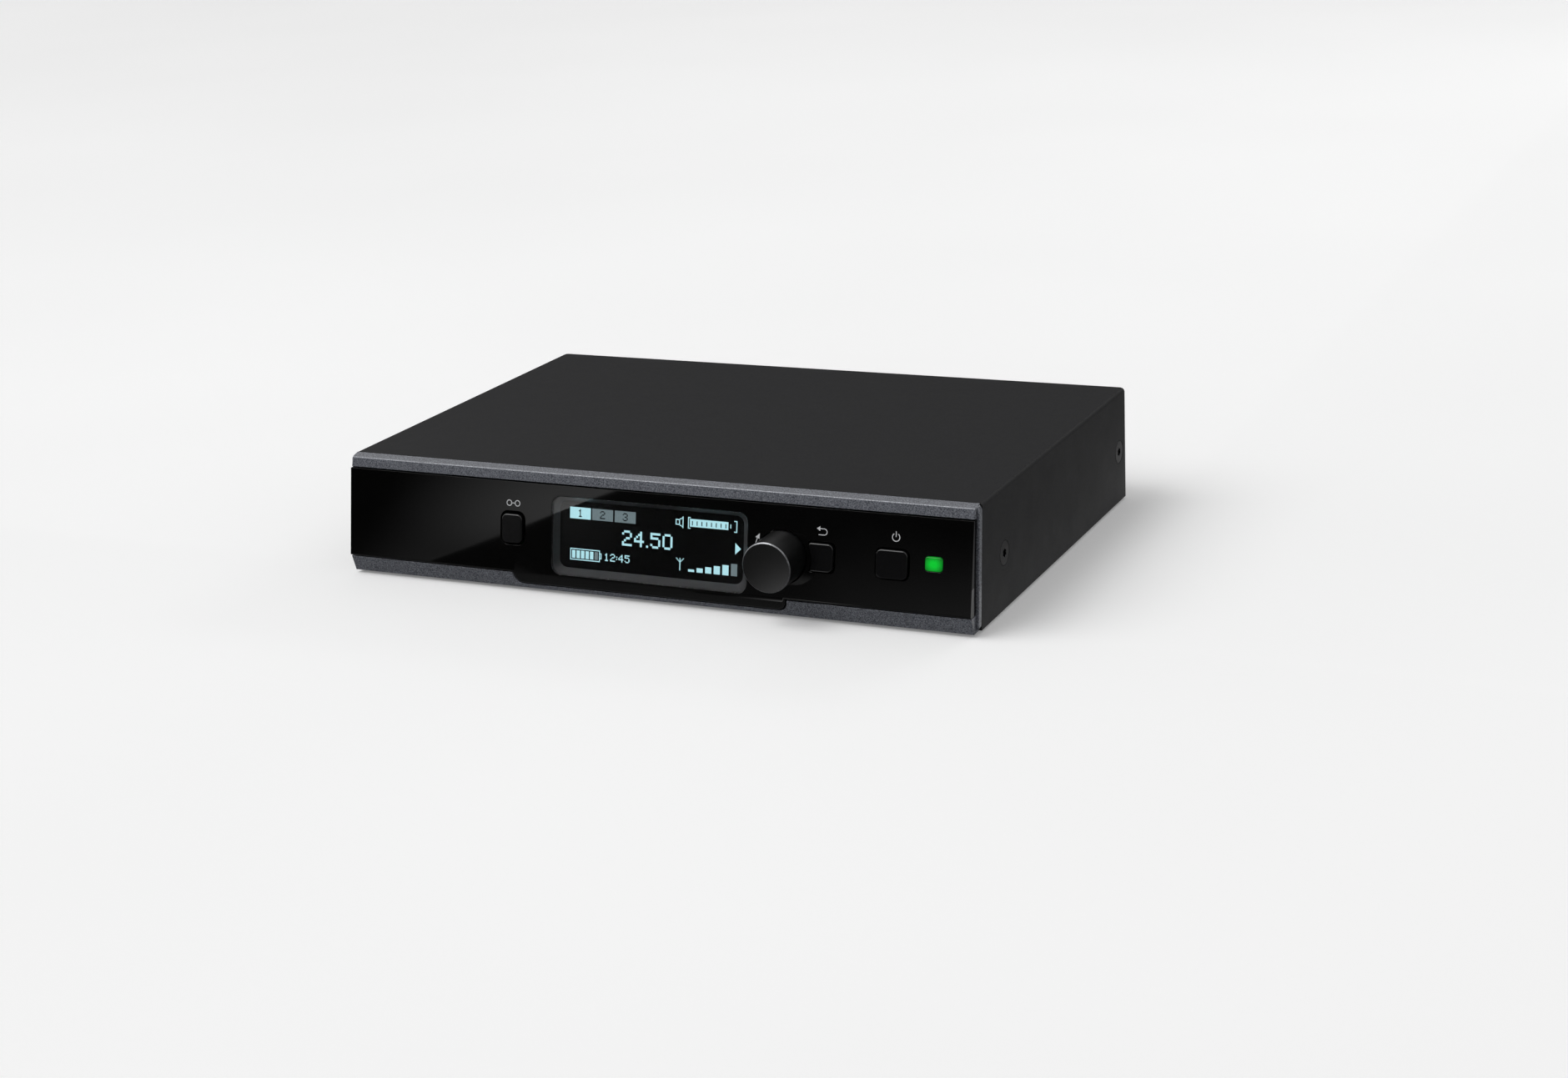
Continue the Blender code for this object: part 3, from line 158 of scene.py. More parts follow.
def glossAcrylic():  # cast acrylic panel, polished: near-black, mirror-smooth with a faint waviness
    material, tree, shader = newMaterial("glossBlackAcrylic", "050505", 0.02, IOR=1.49)
    grained(tree, shader, 22.0, gloss=(0.015, 0.035))
    grained(tree, shader, 30.0, tones=("040404", "070707"))
    grained(tree, shader, 18.0, relief=0.0012, detail=0.0)
    return material


def clearAcrylic():  # the same sheet left clear over the display
    material, tree, shader = newMaterial("clearAcrylic", "ffffff", 0.0, IOR=1.49, Transmission_Weight=1.0)
    grained(tree, shader, 22.0, gloss=(0.0, 0.004))
    return material


def frameAbs():  # ABS moulding with a fine spark-eroded texture: dark grey satin
    material, tree, shader = newMaterial("satinAbsFrame", "525254", 0.45)
    grained(tree, shader, 0.25, tones=("4e4e50", "5a5a5c"), relief=0.006)
    return material


def buttonAbs():  # ABS keycap: black, a little shinier than the knob
    material, tree, shader = newMaterial("satinBlackAbs", "090909", 0.18)
    grained(tree, shader, 0.22, tones=("070708", "0b0b0c"), relief=0.004)
    grained(tree, shader, 3.0, gloss=(0.15, 0.21))
    return material


def knobAbs():  # knob in matt black ABS with an even, fine grain
    material, tree, shader = newMaterial("mattBlackAbs", "131314", 0.32)
    grained(tree, shader, 0.28, tones=("0a0a0a", "121213"), relief=0.008)
    return material


def chamferMetal():  # diamond-turned chamfer: a bright line with fine turning marks
    material, tree, shader = newMaterial("turnedChamfer", "77787a", 0.28, Metallic=0.9)
    grained(tree, shader, 0.5, tones=("6c6d70", "868789"), gloss=(0.24, 0.34))
    return material


def screenGlass():  # display glass: near-black with the faint grid of its pixels
    material, tree, shader = newMaterial("displayGlass", "0e0e0f", 0.16)
    spot = addNode(tree, "TexCoord").outputs["Object"]
    cells = {"Scale": 1.0, "Mortar Size": 0.03 * mm, "Brick Width": pixel * mm, "Row Height": pixel * mm,
             "Color1": linear("0f0f10"), "Color2": linear("0d0d0e"), "Mortar": linear("0a0a0b")}
    upright = addNode(tree, "Mapping", values={"Rotation": (pi / 2, 0, 0)}, links={"Vector": spot})
    grid = addNode(tree, "TexBrick", values=cells, links={"Vector": upright.outputs["Vector"]}, offset=0.0)
    tree.links.new(grid.outputs["Color"], shader.inputs["Base Color"])
    return material


def glowing(name, colour, shade):  # lit segments: even, with a slight mottle as in a real panel
    material, tree, shader = newMaterial(name, "050505", 0.4, Specular_IOR_Level=0.2, Emission_Strength=1.0)
    grained(tree, shader, 0.6, tones=(shade, colour), onto="Emission Color")
    return material


def printedInk():  # screen-printed ink: pale grey, matt, a little uneven at the edges
    material, tree, shader = newMaterial("printedInk", "c4c5c8", 0.5)
    grained(tree, shader, 0.3, tones=("b8b9bc", "cfd0d2"))
    return material


def greenDiffuser():  # tinted diffuser with a lamp behind it: bright in the middle, dark at the rim
    material, tree, shader = newMaterial("greenDiffuser", "041c08", 0.35, Emission_Strength=1.0)
    spot = addNode(tree, "TexCoord").outputs["Object"]
    level = riseZ(lightPipe["rise"])
    middle = casingShift + Vector((lightPipe["x"], faceY(level), level)) * mm
    flat = addNode(tree, "Mapping", vector_type="POINT",
                   values={"Location": [-c / s for c, s in zip(middle, lightPipe["glow"])],
                           "Scale": [1 / s for s in lightPipe["glow"]]}, links={"Vector": spot})
    ball = addNode(tree, "TexGradient", links={"Vector": flat.outputs["Vector"]}, gradient_type="SPHERICAL")
    mottle = addNode(tree, "TexNoise", values={"Scale": perMetre(0.35), "Detail": 3.0},
                     links={"Vector": spot})
    boosted = addNode(tree, "Math", values={1: 0.5, 2: 0.75}, links={0: mottle.outputs["Fac"]},
                      operation="MULTIPLY_ADD")
    mixed = addNode(tree, "Math", links={0: ball.outputs["Fac"], 1: boosted.outputs["Value"]},
                    operation="MULTIPLY")
    grained(tree, shader, pattern=mixed.outputs["Value"], tones=("04340f", "00c22e"), spread=(0.0, 0.75),
            onto="Emission Color")
    return material


def solderMask():  # epoxy board under green lacquer, with the tracks showing paler
    material, tree, shader = newMaterial("greenSolderMask", "1c5230", 0.4)
    spot = addNode(tree, "TexCoord").outputs["Object"]
    rows = {"Scale": 1.0, "Mortar Size": 0.25 * mm, "Brick Width": 9 * mm, "Row Height": 1.3 * mm,
            "Color1": linear("174a2a"), "Color2": linear("1b5431"), "Mortar": linear("2f7a4a")}
    tracks = addNode(tree, "TexBrick", values=rows, links={"Vector": spot})
    tree.links.new(tracks.outputs["Color"], shader.inputs["Base Color"])
    grained(tree, shader, pattern=tracks.outputs["Fac"], relief=0.03)
    return material


def moulded(name, low, high, roughness, grain, **values):  # a moulded plastic or rubber with its grain
    material, tree, shader = newMaterial(name, low, roughness, **values)
    grained(tree, shader, grain, tones=(low, high), relief=grain * 0.03)
    grained(tree, shader, 4.0, gloss=(roughness * 0.9, roughness * 1.1))
    return material


def plated(name, low, high, roughness, grain=1.2):  # a plated or bare metal with a slightly uneven polish
    return moulded(name, low, high, roughness, grain, Metallic=1.0)


def ribbonInsulation():  # flat cable: parallel wires under pale insulation
    material, tree, shader = newMaterial("ribbonInsulation", "b4b4b0", 0.5)
    spot = addNode(tree, "TexCoord").outputs["Object"]
    wires = addNode(tree, "TexWave", values={"Scale": perMetre(1.27) / 20}, links={"Vector": spot},
                    bands_direction="X")
    grained(tree, shader, pattern=wires.outputs["Fac"], tones=("9a9a96", "c0c0bb"), relief=0.25)
    return material


# ---- modelling helpers
def rectangle(x, z, width, tall):
    return [(x - width / 2, z - tall / 2), (x + width / 2, z - tall / 2),
            (x + width / 2, z + tall / 2), (x - width / 2, z + tall / 2)]


def bevelEdges(bm, chosen, offset, steps=3):
    edges = [edge for edge in bm.edges if chosen(edge)]
    bmesh.ops.bevel(bm, geom=edges, offset=offset, offset_type="OFFSET", segments=steps, profile=0.5,
                    affect="EDGES", material=-1, clamp_overlap=True)


def span(edge, axis):  # how far an edge reaches along an axis
    return abs(edge.verts[0].co[axis] - edge.verts[1].co[axis])


def slab(outline, near, far, rounds=None, steps=6, edge=0.0, backEdge=0.0):
    # outline in x and z, carried along Y; rounds gives the radius of a numbered corner
    bm = bmesh.new()
    verts = [bm.verts.new((x, near, z)) for x, z in outline]
    bm.faces.new(verts)
    for radius in sorted(set((rounds or {}).values())):
        corners = [verts[i] for i, r in rounds.items() if r == radius]
        bmesh.ops.bevel(bm, geom=corners, offset=radius, offset_type="OFFSET", segments=steps, profile=0.5,
                        affect="VERTICES", material=-1)
    drawn = bmesh.ops.extrude_face_region(bm, geom=bm.faces[:])
    moved = [item for item in drawn["geom"] if isinstance(item, bmesh.types.BMVert)]
    bmesh.ops.translate(bm, verts=moved, vec=(0, far - near, 0))
    bmesh.ops.recalc_face_normals(bm, faces=bm.faces[:])
    for level, offset in ((near, edge), (far, backEdge)):
        if offset:
            bevelEdges(bm, lambda e: all(abs(v.co.y - level) < 1e-5 for v in e.verts), offset)
    return bm


def roundedSlab(x, z, width, tall, near, far, radius, steps=6, **edges):
    return slab(rectangle(x, z, width, tall), near, far, dict.fromkeys(range(4), radius), steps, **edges)


def block(xRange, yRange, zRange, edge=0.0):
    size = [high - low for low, high in (xRange, yRange, zRange)]
    middle = [(high + low) / 2 for low, high in (xRange, yRange, zRange)]
    bm = bmesh.new()
    bmesh.ops.create_cube(bm, size=1.0)
    bmesh.ops.scale(bm, verts=bm.verts[:], vec=size)
    bmesh.ops.translate(bm, verts=bm.verts[:], vec=middle)
    if edge:
        bevelEdges(bm, lambda e: True, edge, 2)
    return bm


def turned(profile, at, towards="Y", steps=64, marks=None):
    # profile is (radius, distance) points from the axis round to the axis; marks gives a face's material
    bm = bmesh.new()
    points = [bm.verts.new((r, 0, h)) for r, h in profile]
    for low, high in zip(points, points[1:]):
        bm.edges.new((low, high))
    bmesh.ops.spin(bm, geom=bm.verts[:] + bm.edges[:], cent=(0, 0, 0), axis=(0, 0, 1), angle=2 * pi,
                   steps=steps, use_merge=True)
    bmesh.ops.remove_doubles(bm, verts=bm.verts[:], dist=1e-4)
    bmesh.ops.recalc_face_normals(bm, faces=bm.faces[:])
    for radius, level, index in marks or ():
        for face in bm.faces:
            middle = face.calc_center_median()
            if abs(hypot(middle.x, middle.y) - radius) < 0.15 and abs(middle.z - level) < 0.15:
                face.material_index = index
    angle, axis = {"Y": (-pi / 2, "X"), "X": (pi / 2, "Y"), "-X": (-pi / 2, "Y"), "Z": (0, "X")}[towards]
    bmesh.ops.rotate(bm, verts=bm.verts[:], cent=(0, 0, 0), matrix=Matrix.Rotation(angle, 3, axis))
    bmesh.ops.translate(bm, verts=bm.verts[:], vec=at)
    return bm


def joined(*shapes):
    whole = shapes[0]
    for shape in shapes[1:]:
        mesh = bpy.data.meshes.new("part")
        shape.to_mesh(mesh)
        whole.from_mesh(mesh)
        shape.free()
        bpy.data.meshes.remove(mesh)
    return whole


def asObject(bm, name="part"):
    mesh = bpy.data.meshes.new(name)
    bm.to_mesh(mesh)
    bm.free()
    made = bpy.data.objects.new(name, mesh)
    bpy.context.scene.collection.objects.link(made)
    return made


def carved(bm, *cutters, operation="DIFFERENCE"):
    target = asObject(bm)
    tools = [asObject(cutter) for cutter in cutters]
    for tool in tools:
        modifier = target.modifiers.new("cut", "BOOLEAN")
        modifier.operation = operation
        modifier.solver = "EXACT"
        modifier.object = tool
    result = bmesh.new()
    result.from_object(target, bpy.context.evaluated_depsgraph_get())
    for made in [target] + tools:
        mesh = made.data
        bpy.data.objects.remove(made)
        bpy.data.meshes.remove(mesh)
    bmesh.ops.remove_doubles(result, verts=result.verts[:], dist=1e-4)
    bmesh.ops.dissolve_limit(result, angle_limit=radians(0.5), verts=result.verts[:], edges=result.edges[:],
                             delimit={"MATERIAL"})
    return result


def split(bm, at, normal, clear=False):
    geom = bm.verts[:] + bm.edges[:] + bm.faces[:]
    found = bmesh.ops.bisect_plane(bm, geom=geom, plane_co=at, plane_no=normal, clear_outer=clear)
    if clear:
        rim = [item for item in found["geom_cut"] if isinstance(item, bmesh.types.BMEdge)]
        bmesh.ops.holes_fill(bm, edges=rim)
    return bm


def leaned(bm):  # every point slides along Y until its own front lies on the panel's face
    for vert in bm.verts:
        vert.co.y += faceY(vert.co.z)
    return bm


def tilted(bm):  # drawn as x, depth and rise: turned back about the panel's foot
    bmesh.ops.rotate(bm, verts=bm.verts[:], cent=(0, 0, 0), matrix=Matrix.Rotation(-panel["lean"], 3, "X"))
    bmesh.ops.translate(bm, verts=bm.verts[:], vec=(0, panel["footY"], panel["footZ"]))
    return bm


def piece(name, bm, finish, body="casing", replaces=None, smooth=40):
    bmesh.ops.scale(bm, verts=bm.verts[:], vec=(mm, mm, mm))
    bmesh.ops.translate(bm, verts=bm.verts[:], vec=casingShift)
    made = asObject(bm, name)
    mesh = made.data
    mesh.shade_smooth()
    mesh.set_sharp_from_angle(angle=radians(smooth))
    for look in finish if isinstance(finish, list) else [finish]:
        mesh.materials.append(look)
    normals = made.modifiers.new("evenNormals", "WEIGHTED_NORMAL")
    normals.keep_sharp = True
    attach(made, body)
    if replaces:
        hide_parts(replaces)
    return made


# ---- sizes of the front's pieces, in millimetres
display = {"x": 1.5, "foot": 0.5, "wide": 66.6, "tall": (panel["headZ"] - panel["footZ"]) / cos(panel["lean"])
           - 0.5 - 3.1, "round": 3.2, "fit": 0.15, "thick": 1.0, "depth": 2.6, "left": 1.7, "right": 2.95,
           "bottom": 2.4, "top": 1.75, "wall": 0.6, "screen": 3.5}
displayMiddle = (display["x"], display["foot"] + display["tall"] / 2)
pixel = 0.29
knob = {"x": 45.7, "z": 17.9, "radius": 7.7, "front": -18.3, "length": 12.8, "chamfer": 0.32, "dome": 0.1,
        "hole": 8.05, "bore": 3.3, "web": 1.6}
keys = {  # centre, width, height, gap round it and the hollow side's radius about the knob
    "link": (-45.4, 7.1, 8.9, 0.8, 0.0),
    "back": (58.5, 7.8, 8.3, 0.45, 9.8),
    "power": (80.7, 9.8, 8.4, 0.45, 0.0),
}
key = {"rise": 13.7, "round": 1.7, "proud": 0.9, "edge": 0.4}
lightPipe = {"x": 93.4, "rise": 14.7, "wide": 5.1, "tall": 4.0 * cos(panel["lean"]), "round": 0.7, "fit": 0.2,
             "glow": (3.6 * mm, 20 * mm, 3.0 * mm)}
sideScrew = {"y": (16.5, casing["depth"] - 8.2), "z": 17.0, "head": 3.75, "sink": 1.0, "shank": 1.5,
             "length": 6.5, "rim": 0.2, "driveRadius": 1.25, "driveLobe": 0.3, "driveDepth": 0.8}

looks = {
    "powder": powderCoat(), "zinc": zincPlate(), "fleck": fleckPaint(), "gloss": glossAcrylic(),
    "clear": clearAcrylic(), "frame": frameAbs(), "screen": screenGlass(), "button": buttonAbs(),
    "knob": knobAbs(), "chamfer": chamferMetal(), "ink": printedInk(), "green": greenDiffuser(),
    "lit": glowing("litSegment", "b9eaf2", "b2e4ee"), "dim": glowing("dimSegment", "707f84", "6a797d"),
    "board": solderMask(), "ribbon": ribbonInsulation(),
    "chip": moulded("chipEpoxy", "141415", "1c1c1d", 0.6, 0.2),
    "housing": moulded("blackNylon", "131314", "1a1a1b", 0.45, 0.3),
    "rubber": moulded("blackRubber", "101010", "181818", 0.8, 0.4),
    "sleeve": moulded("cableSleeve", "333335", "3e3e40", 0.5, 0.5),
    "can": moulded("capacitorSleeve", "26304a", "30395a", 0.35, 0.8),
    "white": moulded("insulatorPlastic", "dcdcd6", "e6e6e0", 0.4, 0.5),
    "nickel": plated("nickelPlate", "b2b0a9", "c0beb7", 0.22),
    "tin": plated("tinnedSteel", "bcbcba", "cacac8", 0.3, 2.0),
    "gold": plated("goldPlate", "c09a44", "d0aa52", 0.26),
    "blackZinc": plated("blackZinc", "1a1a1b", "262627", 0.4, 0.4),
}
print("materials made:", len(looks))


# ---- casing
cover = {"corner": 2.0, "fold": 1.3, "lip": 1.9}


def topCover():
    bm = block((-halfWidth, halfWidth), (0, casing["depth"]), (0, height))
    for vert in bm.verts:
        if vert.co.y < 1 and vert.co.z < 1:
            vert.co.y = jointY(0)
    back = casing["depth"] - 1e-4
    bevelEdges(bm, lambda e: all(v.co.y > back for v in e.verts) and span(e, 0) < 1 and span(e, 2) > 1,
               cover["corner"], 6)
    top = height - 1e-4
    bevelEdges(bm, lambda e: all(v.co.z > top for v in e.verts) and max(v.co.y for v in e.verts) > 1,
               cover["fold"], 5)
    flat = [face for face in bm.faces if face.normal.z < -0.9]
    flat += [face for face in bm.faces if face.normal.y < -0.9]
    bmesh.ops.delete(bm, geom=flat, context="FACES")
    rear = [face for face in bm.faces if face.normal.y > 0.999]
    bmesh.ops.inset_region(bm, faces=rear, thickness=cover["lip"], use_boundary=False, use_even_offset=True)
    opening = [face for face in bm.faces if face.normal.y > 0.999 and face.calc_area() > 900]
    bmesh.ops.delete(bm, geom=opening, context="FACES")
    shell = asObject(bm)
    thickness = shell.modifiers.new("sheet", "SOLIDIFY")
    thickness.thickness = casing["sheet"]
    thickness.offset = -1
    thickness.use_even_offset = True
    solid = bmesh.new()
    solid.from_object(shell, bpy.context.evaluated_depsgraph_get())
    bpy.data.objects.remove(shell)
    holes = []
    for side, way in ((-1, "-X"), (1, "X")):
        for y in sideScrew["y"]:
            r, sink = sideScrew["head"] + sideScrew["rim"], sideScrew["sink"]
            cone = [(0, -2 * sink), (r - 2 * sink, -2 * sink), (r + sink, sink), (0, sink)]
            holes.append(turned(cone, (side * halfWidth, y, sideScrew["z"]), way))
    solid = carved(solid, *holes)
    piece("coverShell", solid, looks["powder"], replaces="top_cover")


def lobedDrive(radius, lobe, depth, steps=48):  # six-lobed recess, drawn towards +Z
    bm = bmesh.new()
    ring = []
    for step in range(steps):
        angle = 2 * pi * step / steps
        r = radius + lobe * cos(6 * angle) / 2
        ring.append(bm.verts.new((r * cos(angle), r * sin(angle), -depth)))
    bm.faces.new(ring)
    drawn = bmesh.ops.extrude_face_region(bm, geom=bm.faces[:])
    moved = [item for item in drawn["geom"] if isinstance(item, bmesh.types.BMVert)]
    bmesh.ops.translate(bm, verts=moved, vec=(0, 0, 2 * depth))
    bmesh.ops.recalc_face_normals(bm, faces=bm.faces[:])
    return bm


def sideScrews():
    s = sideScrew
    profile = [(0, -s["length"]), (s["shank"] - 0.3, -s["length"]), (s["shank"], -s["length"] + 0.4),
               (s["shank"], -s["sink"]), (s["head"] - s["sink"], -s["sink"]), (s["head"] - 0.05, -0.12),
               (s["head"] - 0.15, -0.02), (0, 0)]
    for side, sideName in ((-1, "left"), (1, "right")):
        for y, end in zip(s["y"], ("front", "rear")):
            head = turned(profile, (0, 0, 0), "Z", 48)
            screw = carved(head, lobedDrive(s["driveRadius"], s["driveLobe"], s["driveDepth"]))
            outwards = Matrix.Rotation(side * pi / 2, 3, "Y")
            bmesh.ops.rotate(screw, verts=screw.verts[:], cent=(0, 0, 0), matrix=outwards)
            bmesh.ops.translate(screw, verts=screw.verts[:], vec=(side * halfWidth, y, s["z"]))
            name = sideName + end.capitalize() + "Screw"
            piece(name, screw, looks["blackZinc"], replaces=sideName + "_screw_" + end)


topCover()
sideScrews()
print("cover and side screws done")


# ---- front bezel and panel
bezel = {"ridgeY": -3.4, "ridgeDrop": 0.7, "ridgeEdge": 0.3, "endEdge": 0.35, "footEdge": 0.18,
         "lowerDepth": 4.0, "lowerEdge": 0.25, "cheek": 2.6, "cheekNear": -2.5, "cheekDrop": 0.04,
         "cheekRound": 2.0, "armX": (98.3, 103.4), "armY": (-1.2, 22.0), "armZ": (11.5, 22.5)}


def chinOutline(grow, topZ):
    half, foot = chin["half"] + grow, chin["foot"] - grow
    low, x = half - chin["drawnIn"], chin["x"]
    return [(x - half, topZ), (x - low, foot), (x + low, foot), (x + half, topZ)]


def frontBezel():
    seatFoot, seatHead = panel["footZ"] - casing["gap"], panel["headZ"] + casing["gap"]
    ridge = (bezel["ridgeY"], height - bezel["ridgeDrop"])
    back = jointY(height) - casing["gap"]
    upper = [(back, height), ridge, (faceY(seatHead) + bar["step"], seatHead), (back, seatHead)]
    bm = bmesh.new()
    bm.faces.new([bm.verts.new((-panel["half"], y, z)) for y, z in upper])
    drawn = bmesh.ops.extrude_face_region(bm, geom=bm.faces[:])
    moved = [item for item in drawn["geom"] if isinstance(item, bmesh.types.BMVert)]
    bmesh.ops.translate(bm, verts=moved, vec=(2 * panel["half"], 0, 0))
    bmesh.ops.recalc_face_normals(bm, faces=bm.faces[:])
    bevelEdges(bm, lambda e: all(abs(v.co.y - ridge[0]) < 1e-4 for v in e.verts),
               bezel["ridgeEdge"], 4)
    bevelEdges(bm, lambda e: all(v.co.y < -1 for v in e.verts) and span(e, 0) < 1e-4
               and e.calc_face_angle(0) > 1.0, bezel["endEdge"], 4)
    bevelEdges(bm, lambda e: all(abs(v.co.z - seatHead) < 1e-4 and v.co.y < -3 for v in e.verts),
               bezel["footEdge"], 3)

    fitted = chinOutline(casing["gap"], seatFoot)
    outline = [(-panel["half"], 0.0), (-panel["half"], seatFoot)] + fitted
    outline += [(panel["half"], seatFoot), (panel["half"], 0.0)]
    rounds = {3: chin["round"], 4: chin["round"]}
    lower = slab(outline, 0, bezel["lowerDepth"], rounds, edge=bezel["lowerEdge"])
    for vert in lower.verts:
        vert.co.y += barY(vert.co.z)

    cheeks = []
    inner, top = halfWidth - bezel["cheek"], height - bezel["cheekDrop"]
    rounds = {1: bezel["cheekRound"], 2: bezel["cheekRound"]}
    for side in (-1, 1):
        shape = [(side * inner, 0), (side * halfWidth, 0), (side * halfWidth, top), (side * inner, top)]
        cheek = slab(shape, bezel["cheekNear"], -casing["gap"], rounds, 8, edge=bezel["endEdge"])
        for vert in cheek.verts:
            vert.co.y += jointY(vert.co.z)
        slope = (height - ridge[1]) / (back - ridge[0])
        split(cheek, (0, back, top), (0, -slope, 1), clear=True)
        arm = block(sorted(side * x for x in bezel["armX"]), bezel["armY"], bezel["armZ"], 0.3)
        cheeks += [cheek, arm]
    piece("bezelFrame", joined(bm, lower, *cheeks), looks["fleck"], replaces="front_bezel")


def keyOutline(name, grow=0):  # the cap's outline, or with grow 1 the hole's
    x, wide, tall, fit, hollow = keys[name]
    grow *= fit
    z, tall = riseZ(key["rise"]), tall * cos(panel["lean"]) + 2 * grow
    shape = rectangle(x, z, wide + 2 * grow, tall)
    if not hollow:
        return shape, dict.fromkeys(range(4), key["round"] + grow)
    steps, left = 8, []
    for step in range(steps + 1):
        level = z + tall / 2 - tall * step / steps
        reach = (hollow - grow) ** 2 - (level - knob["z"]) ** 2
        left.append((max(knob["x"] + reach ** 0.5, x - wide / 2 - grow), level))
    return shape[1:3] + left, {0: key["round"], 1: key["round"], 2: 0.8, 2 + steps: 0.8}


def frontPanel():
    outline = [(-panel["half"], panel["headZ"]), (-panel["half"], panel["footZ"])]
    outline += chinOutline(0.0, panel["footZ"])
    outline += [(panel["half"], panel["footZ"]), (panel["half"], panel["headZ"])]
    bm = slab(outline, 0, panel["thick"] / cos(panel["lean"]), {3: chin["round"], 4: chin["round"]})
    front = 1e-4
    bevelEdges(bm, lambda e: all(abs(v.co.y) < front and v.co.z < panel["footZ"] + 0.01 for v in e.verts),
               panel["footEdge"], 5)
    bevelEdges(bm, lambda e: all(abs(v.co.y) < front for v in e.verts) and e.calc_face_angle(0) > 1.0,
               panel["edge"], 3)
    holes = []
    for name in keys:
        shape, rounds = keyOutline(name, 1)
        holes.append(slab(shape, -1, 4, rounds))
    p, fit = lightPipe, lightPipe["fit"]
    holes.append(roundedSlab(p["x"], riseZ(p["rise"]), p["wide"] + 2 * fit, p["tall"] + 2 * fit, -1, 4,
                             p["round"] + fit))
    bore = [(0, -1), (knob["hole"], -1), (knob["hole"], 4), (0, 4)]
    holes.append(turned(bore, (knob["x"], 0, knob["z"]), "Y", 72))
    bm = carved(bm, *holes)
    bevelEdges(bm, lambda e: all(abs(v.co.y) < front for v in e.verts) and e.calc_face_angle(0) > 1.0,
               panel["holeEdge"], 3)
    split(bm, (0, 0, panel["footZ"]), (0, 0, 1))
    for vert in bm.verts:
        z = vert.co.z
        vert.co.y += faceY(z) if z >= panel["footZ"] else barY(z) - bar["step"]
    middle = displayMiddle
    window = tilted(roundedSlab(*middle, display["wide"], display["tall"], -2, 4, display["round"], 8))
    bm = carved(bm, window)
    back = panel["thick"] / cos(panel["lean"])
    returns = []
    for side in (-1, 1):
        outer, inner = side * panel["half"], side * (panel["half"] - panel["returnWall"])
        wedge = block(sorted((outer, inner)), (0, 1), (panel["footZ"], panel["headZ"]))
        for vert in wedge.verts:
            z = vert.co.z
            vert.co.y = faceY(z) + back if vert.co.y < 0.5 else jointY(z) + bezel["cheekNear"] - casing["gap"]
        returns.append(wedge)
    piece("glossPanel", joined(bm, *returns), looks["gloss"], replaces="front_panel")


def displayPieces():
    d, middle = display, displayMiddle
    glass = roundedSlab(*middle, d["wide"] - 2 * d["fit"], d["tall"] - 2 * d["fit"], 0, d["thick"],
                        d["round"] - d["fit"], 8, edge=0.06, backEdge=0.06)
    piece("displayWindow", tilted(glass), looks["clear"], replaces="display_window")
    near, far = d["thick"] + casing["gap"], d["depth"] + d["wall"]
    outer = roundedSlab(*middle, d["wide"] - 2 * d["fit"], d["tall"] - 2 * d["fit"], near, far,
                        d["round"] - d["fit"], 8)
    funnel = roundedSlab(*middle, d["wide"] - 4 * d["fit"], d["tall"] - 4 * d["fit"], near, near + 0.01,
                         d["round"] - 2 * d["fit"], 8)
    bmesh.ops.delete(funnel, geom=[f for f in funnel.faces if abs(f.normal.y) < 0.5], context="FACES")
    backs = [v for v in funnel.verts if v.co.y > near + 0.005]
    shownWide, shownTall = d["wide"] - d["left"] - d["right"], d["tall"] - d["top"] - d["bottom"]
    shownX, shownZ = middle[0] + (d["left"] - d["right"]) / 2, middle[1] + (d["bottom"] - d["top"]) / 2
    for vert in backs:  # the back outline shrinks to the visible screen
        vert.co.x = shownX + (vert.co.x - middle[0]) * shownWide / (d["wide"] - 4 * d["fit"])
        vert.co.z = shownZ + (vert.co.z - middle[1]) * shownTall / (d["tall"] - 4 * d["fit"])
        vert.co.y = far + 0.2
    for vert in funnel.verts:
        if vert not in backs:
            vert.co.y = near - 0.2
    rims = [edge for edge in funnel.edges if edge.is_boundary]
    bmesh.ops.bridge_loops(funnel, edges=rims)
    bmesh.ops.recalc_face_normals(funnel, faces=funnel.faces[:])
    piece("displaySurround", tilted(carved(outer, funnel)), looks["frame"],
          replaces="display_frame")


def pushKeys():
    for name in keys:
        shape, rounds = keyOutline(name)
        cap = slab(shape, -key["proud"], 3.4, rounds)
        bevelEdges(cap, lambda e: all(v.co.y < -key["proud"] + 1e-4 for v in e.verts), key["edge"], 4)
        piece(name + "KeyCap", leaned(cap), looks["button"], body=name + "_key",
              replaces=name + "_button")


def controlKnob():
    k = knob
    r, far, wall = k["radius"], k["length"], k["web"]
    dome, chamfer = k["dome"], k["chamfer"]
    face = [(r * share, dome * share ** 2) for share in (0, 0.15, 0.3, 0.45, 0.6, 0.75, 0.87)]
    profile = face + [(r - chamfer, dome), (r, dome + chamfer), (r, dome + chamfer + 0.06), (r, far - 0.2),
                      (r - 0.2, far), (k["bore"], far), (k["bore"], wall), (0, wall)]
    marks = [(r - chamfer / 2, dome + chamfer / 2, 1)]
    bm = turned(profile, (k["x"], k["front"], k["z"]), "Y", 128, marks)
    piece("controlKnob", bm, [looks["knob"], looks["chamfer"]], body="knob",
          replaces="control_knob", smooth=30)


def statusWindow():
    p = lightPipe
    bm = roundedSlab(p["x"], riseZ(p["rise"]), p["wide"], p["tall"], -0.15, 5.0, p["round"], 6, edge=0.2)
    piece("statusWindow", leaned(bm), looks["green"], replaces="light_pipe")


frontBezel()
frontPanel()
displayPieces()
pushKeys()
controlKnob()
statusWindow()
print("front done")


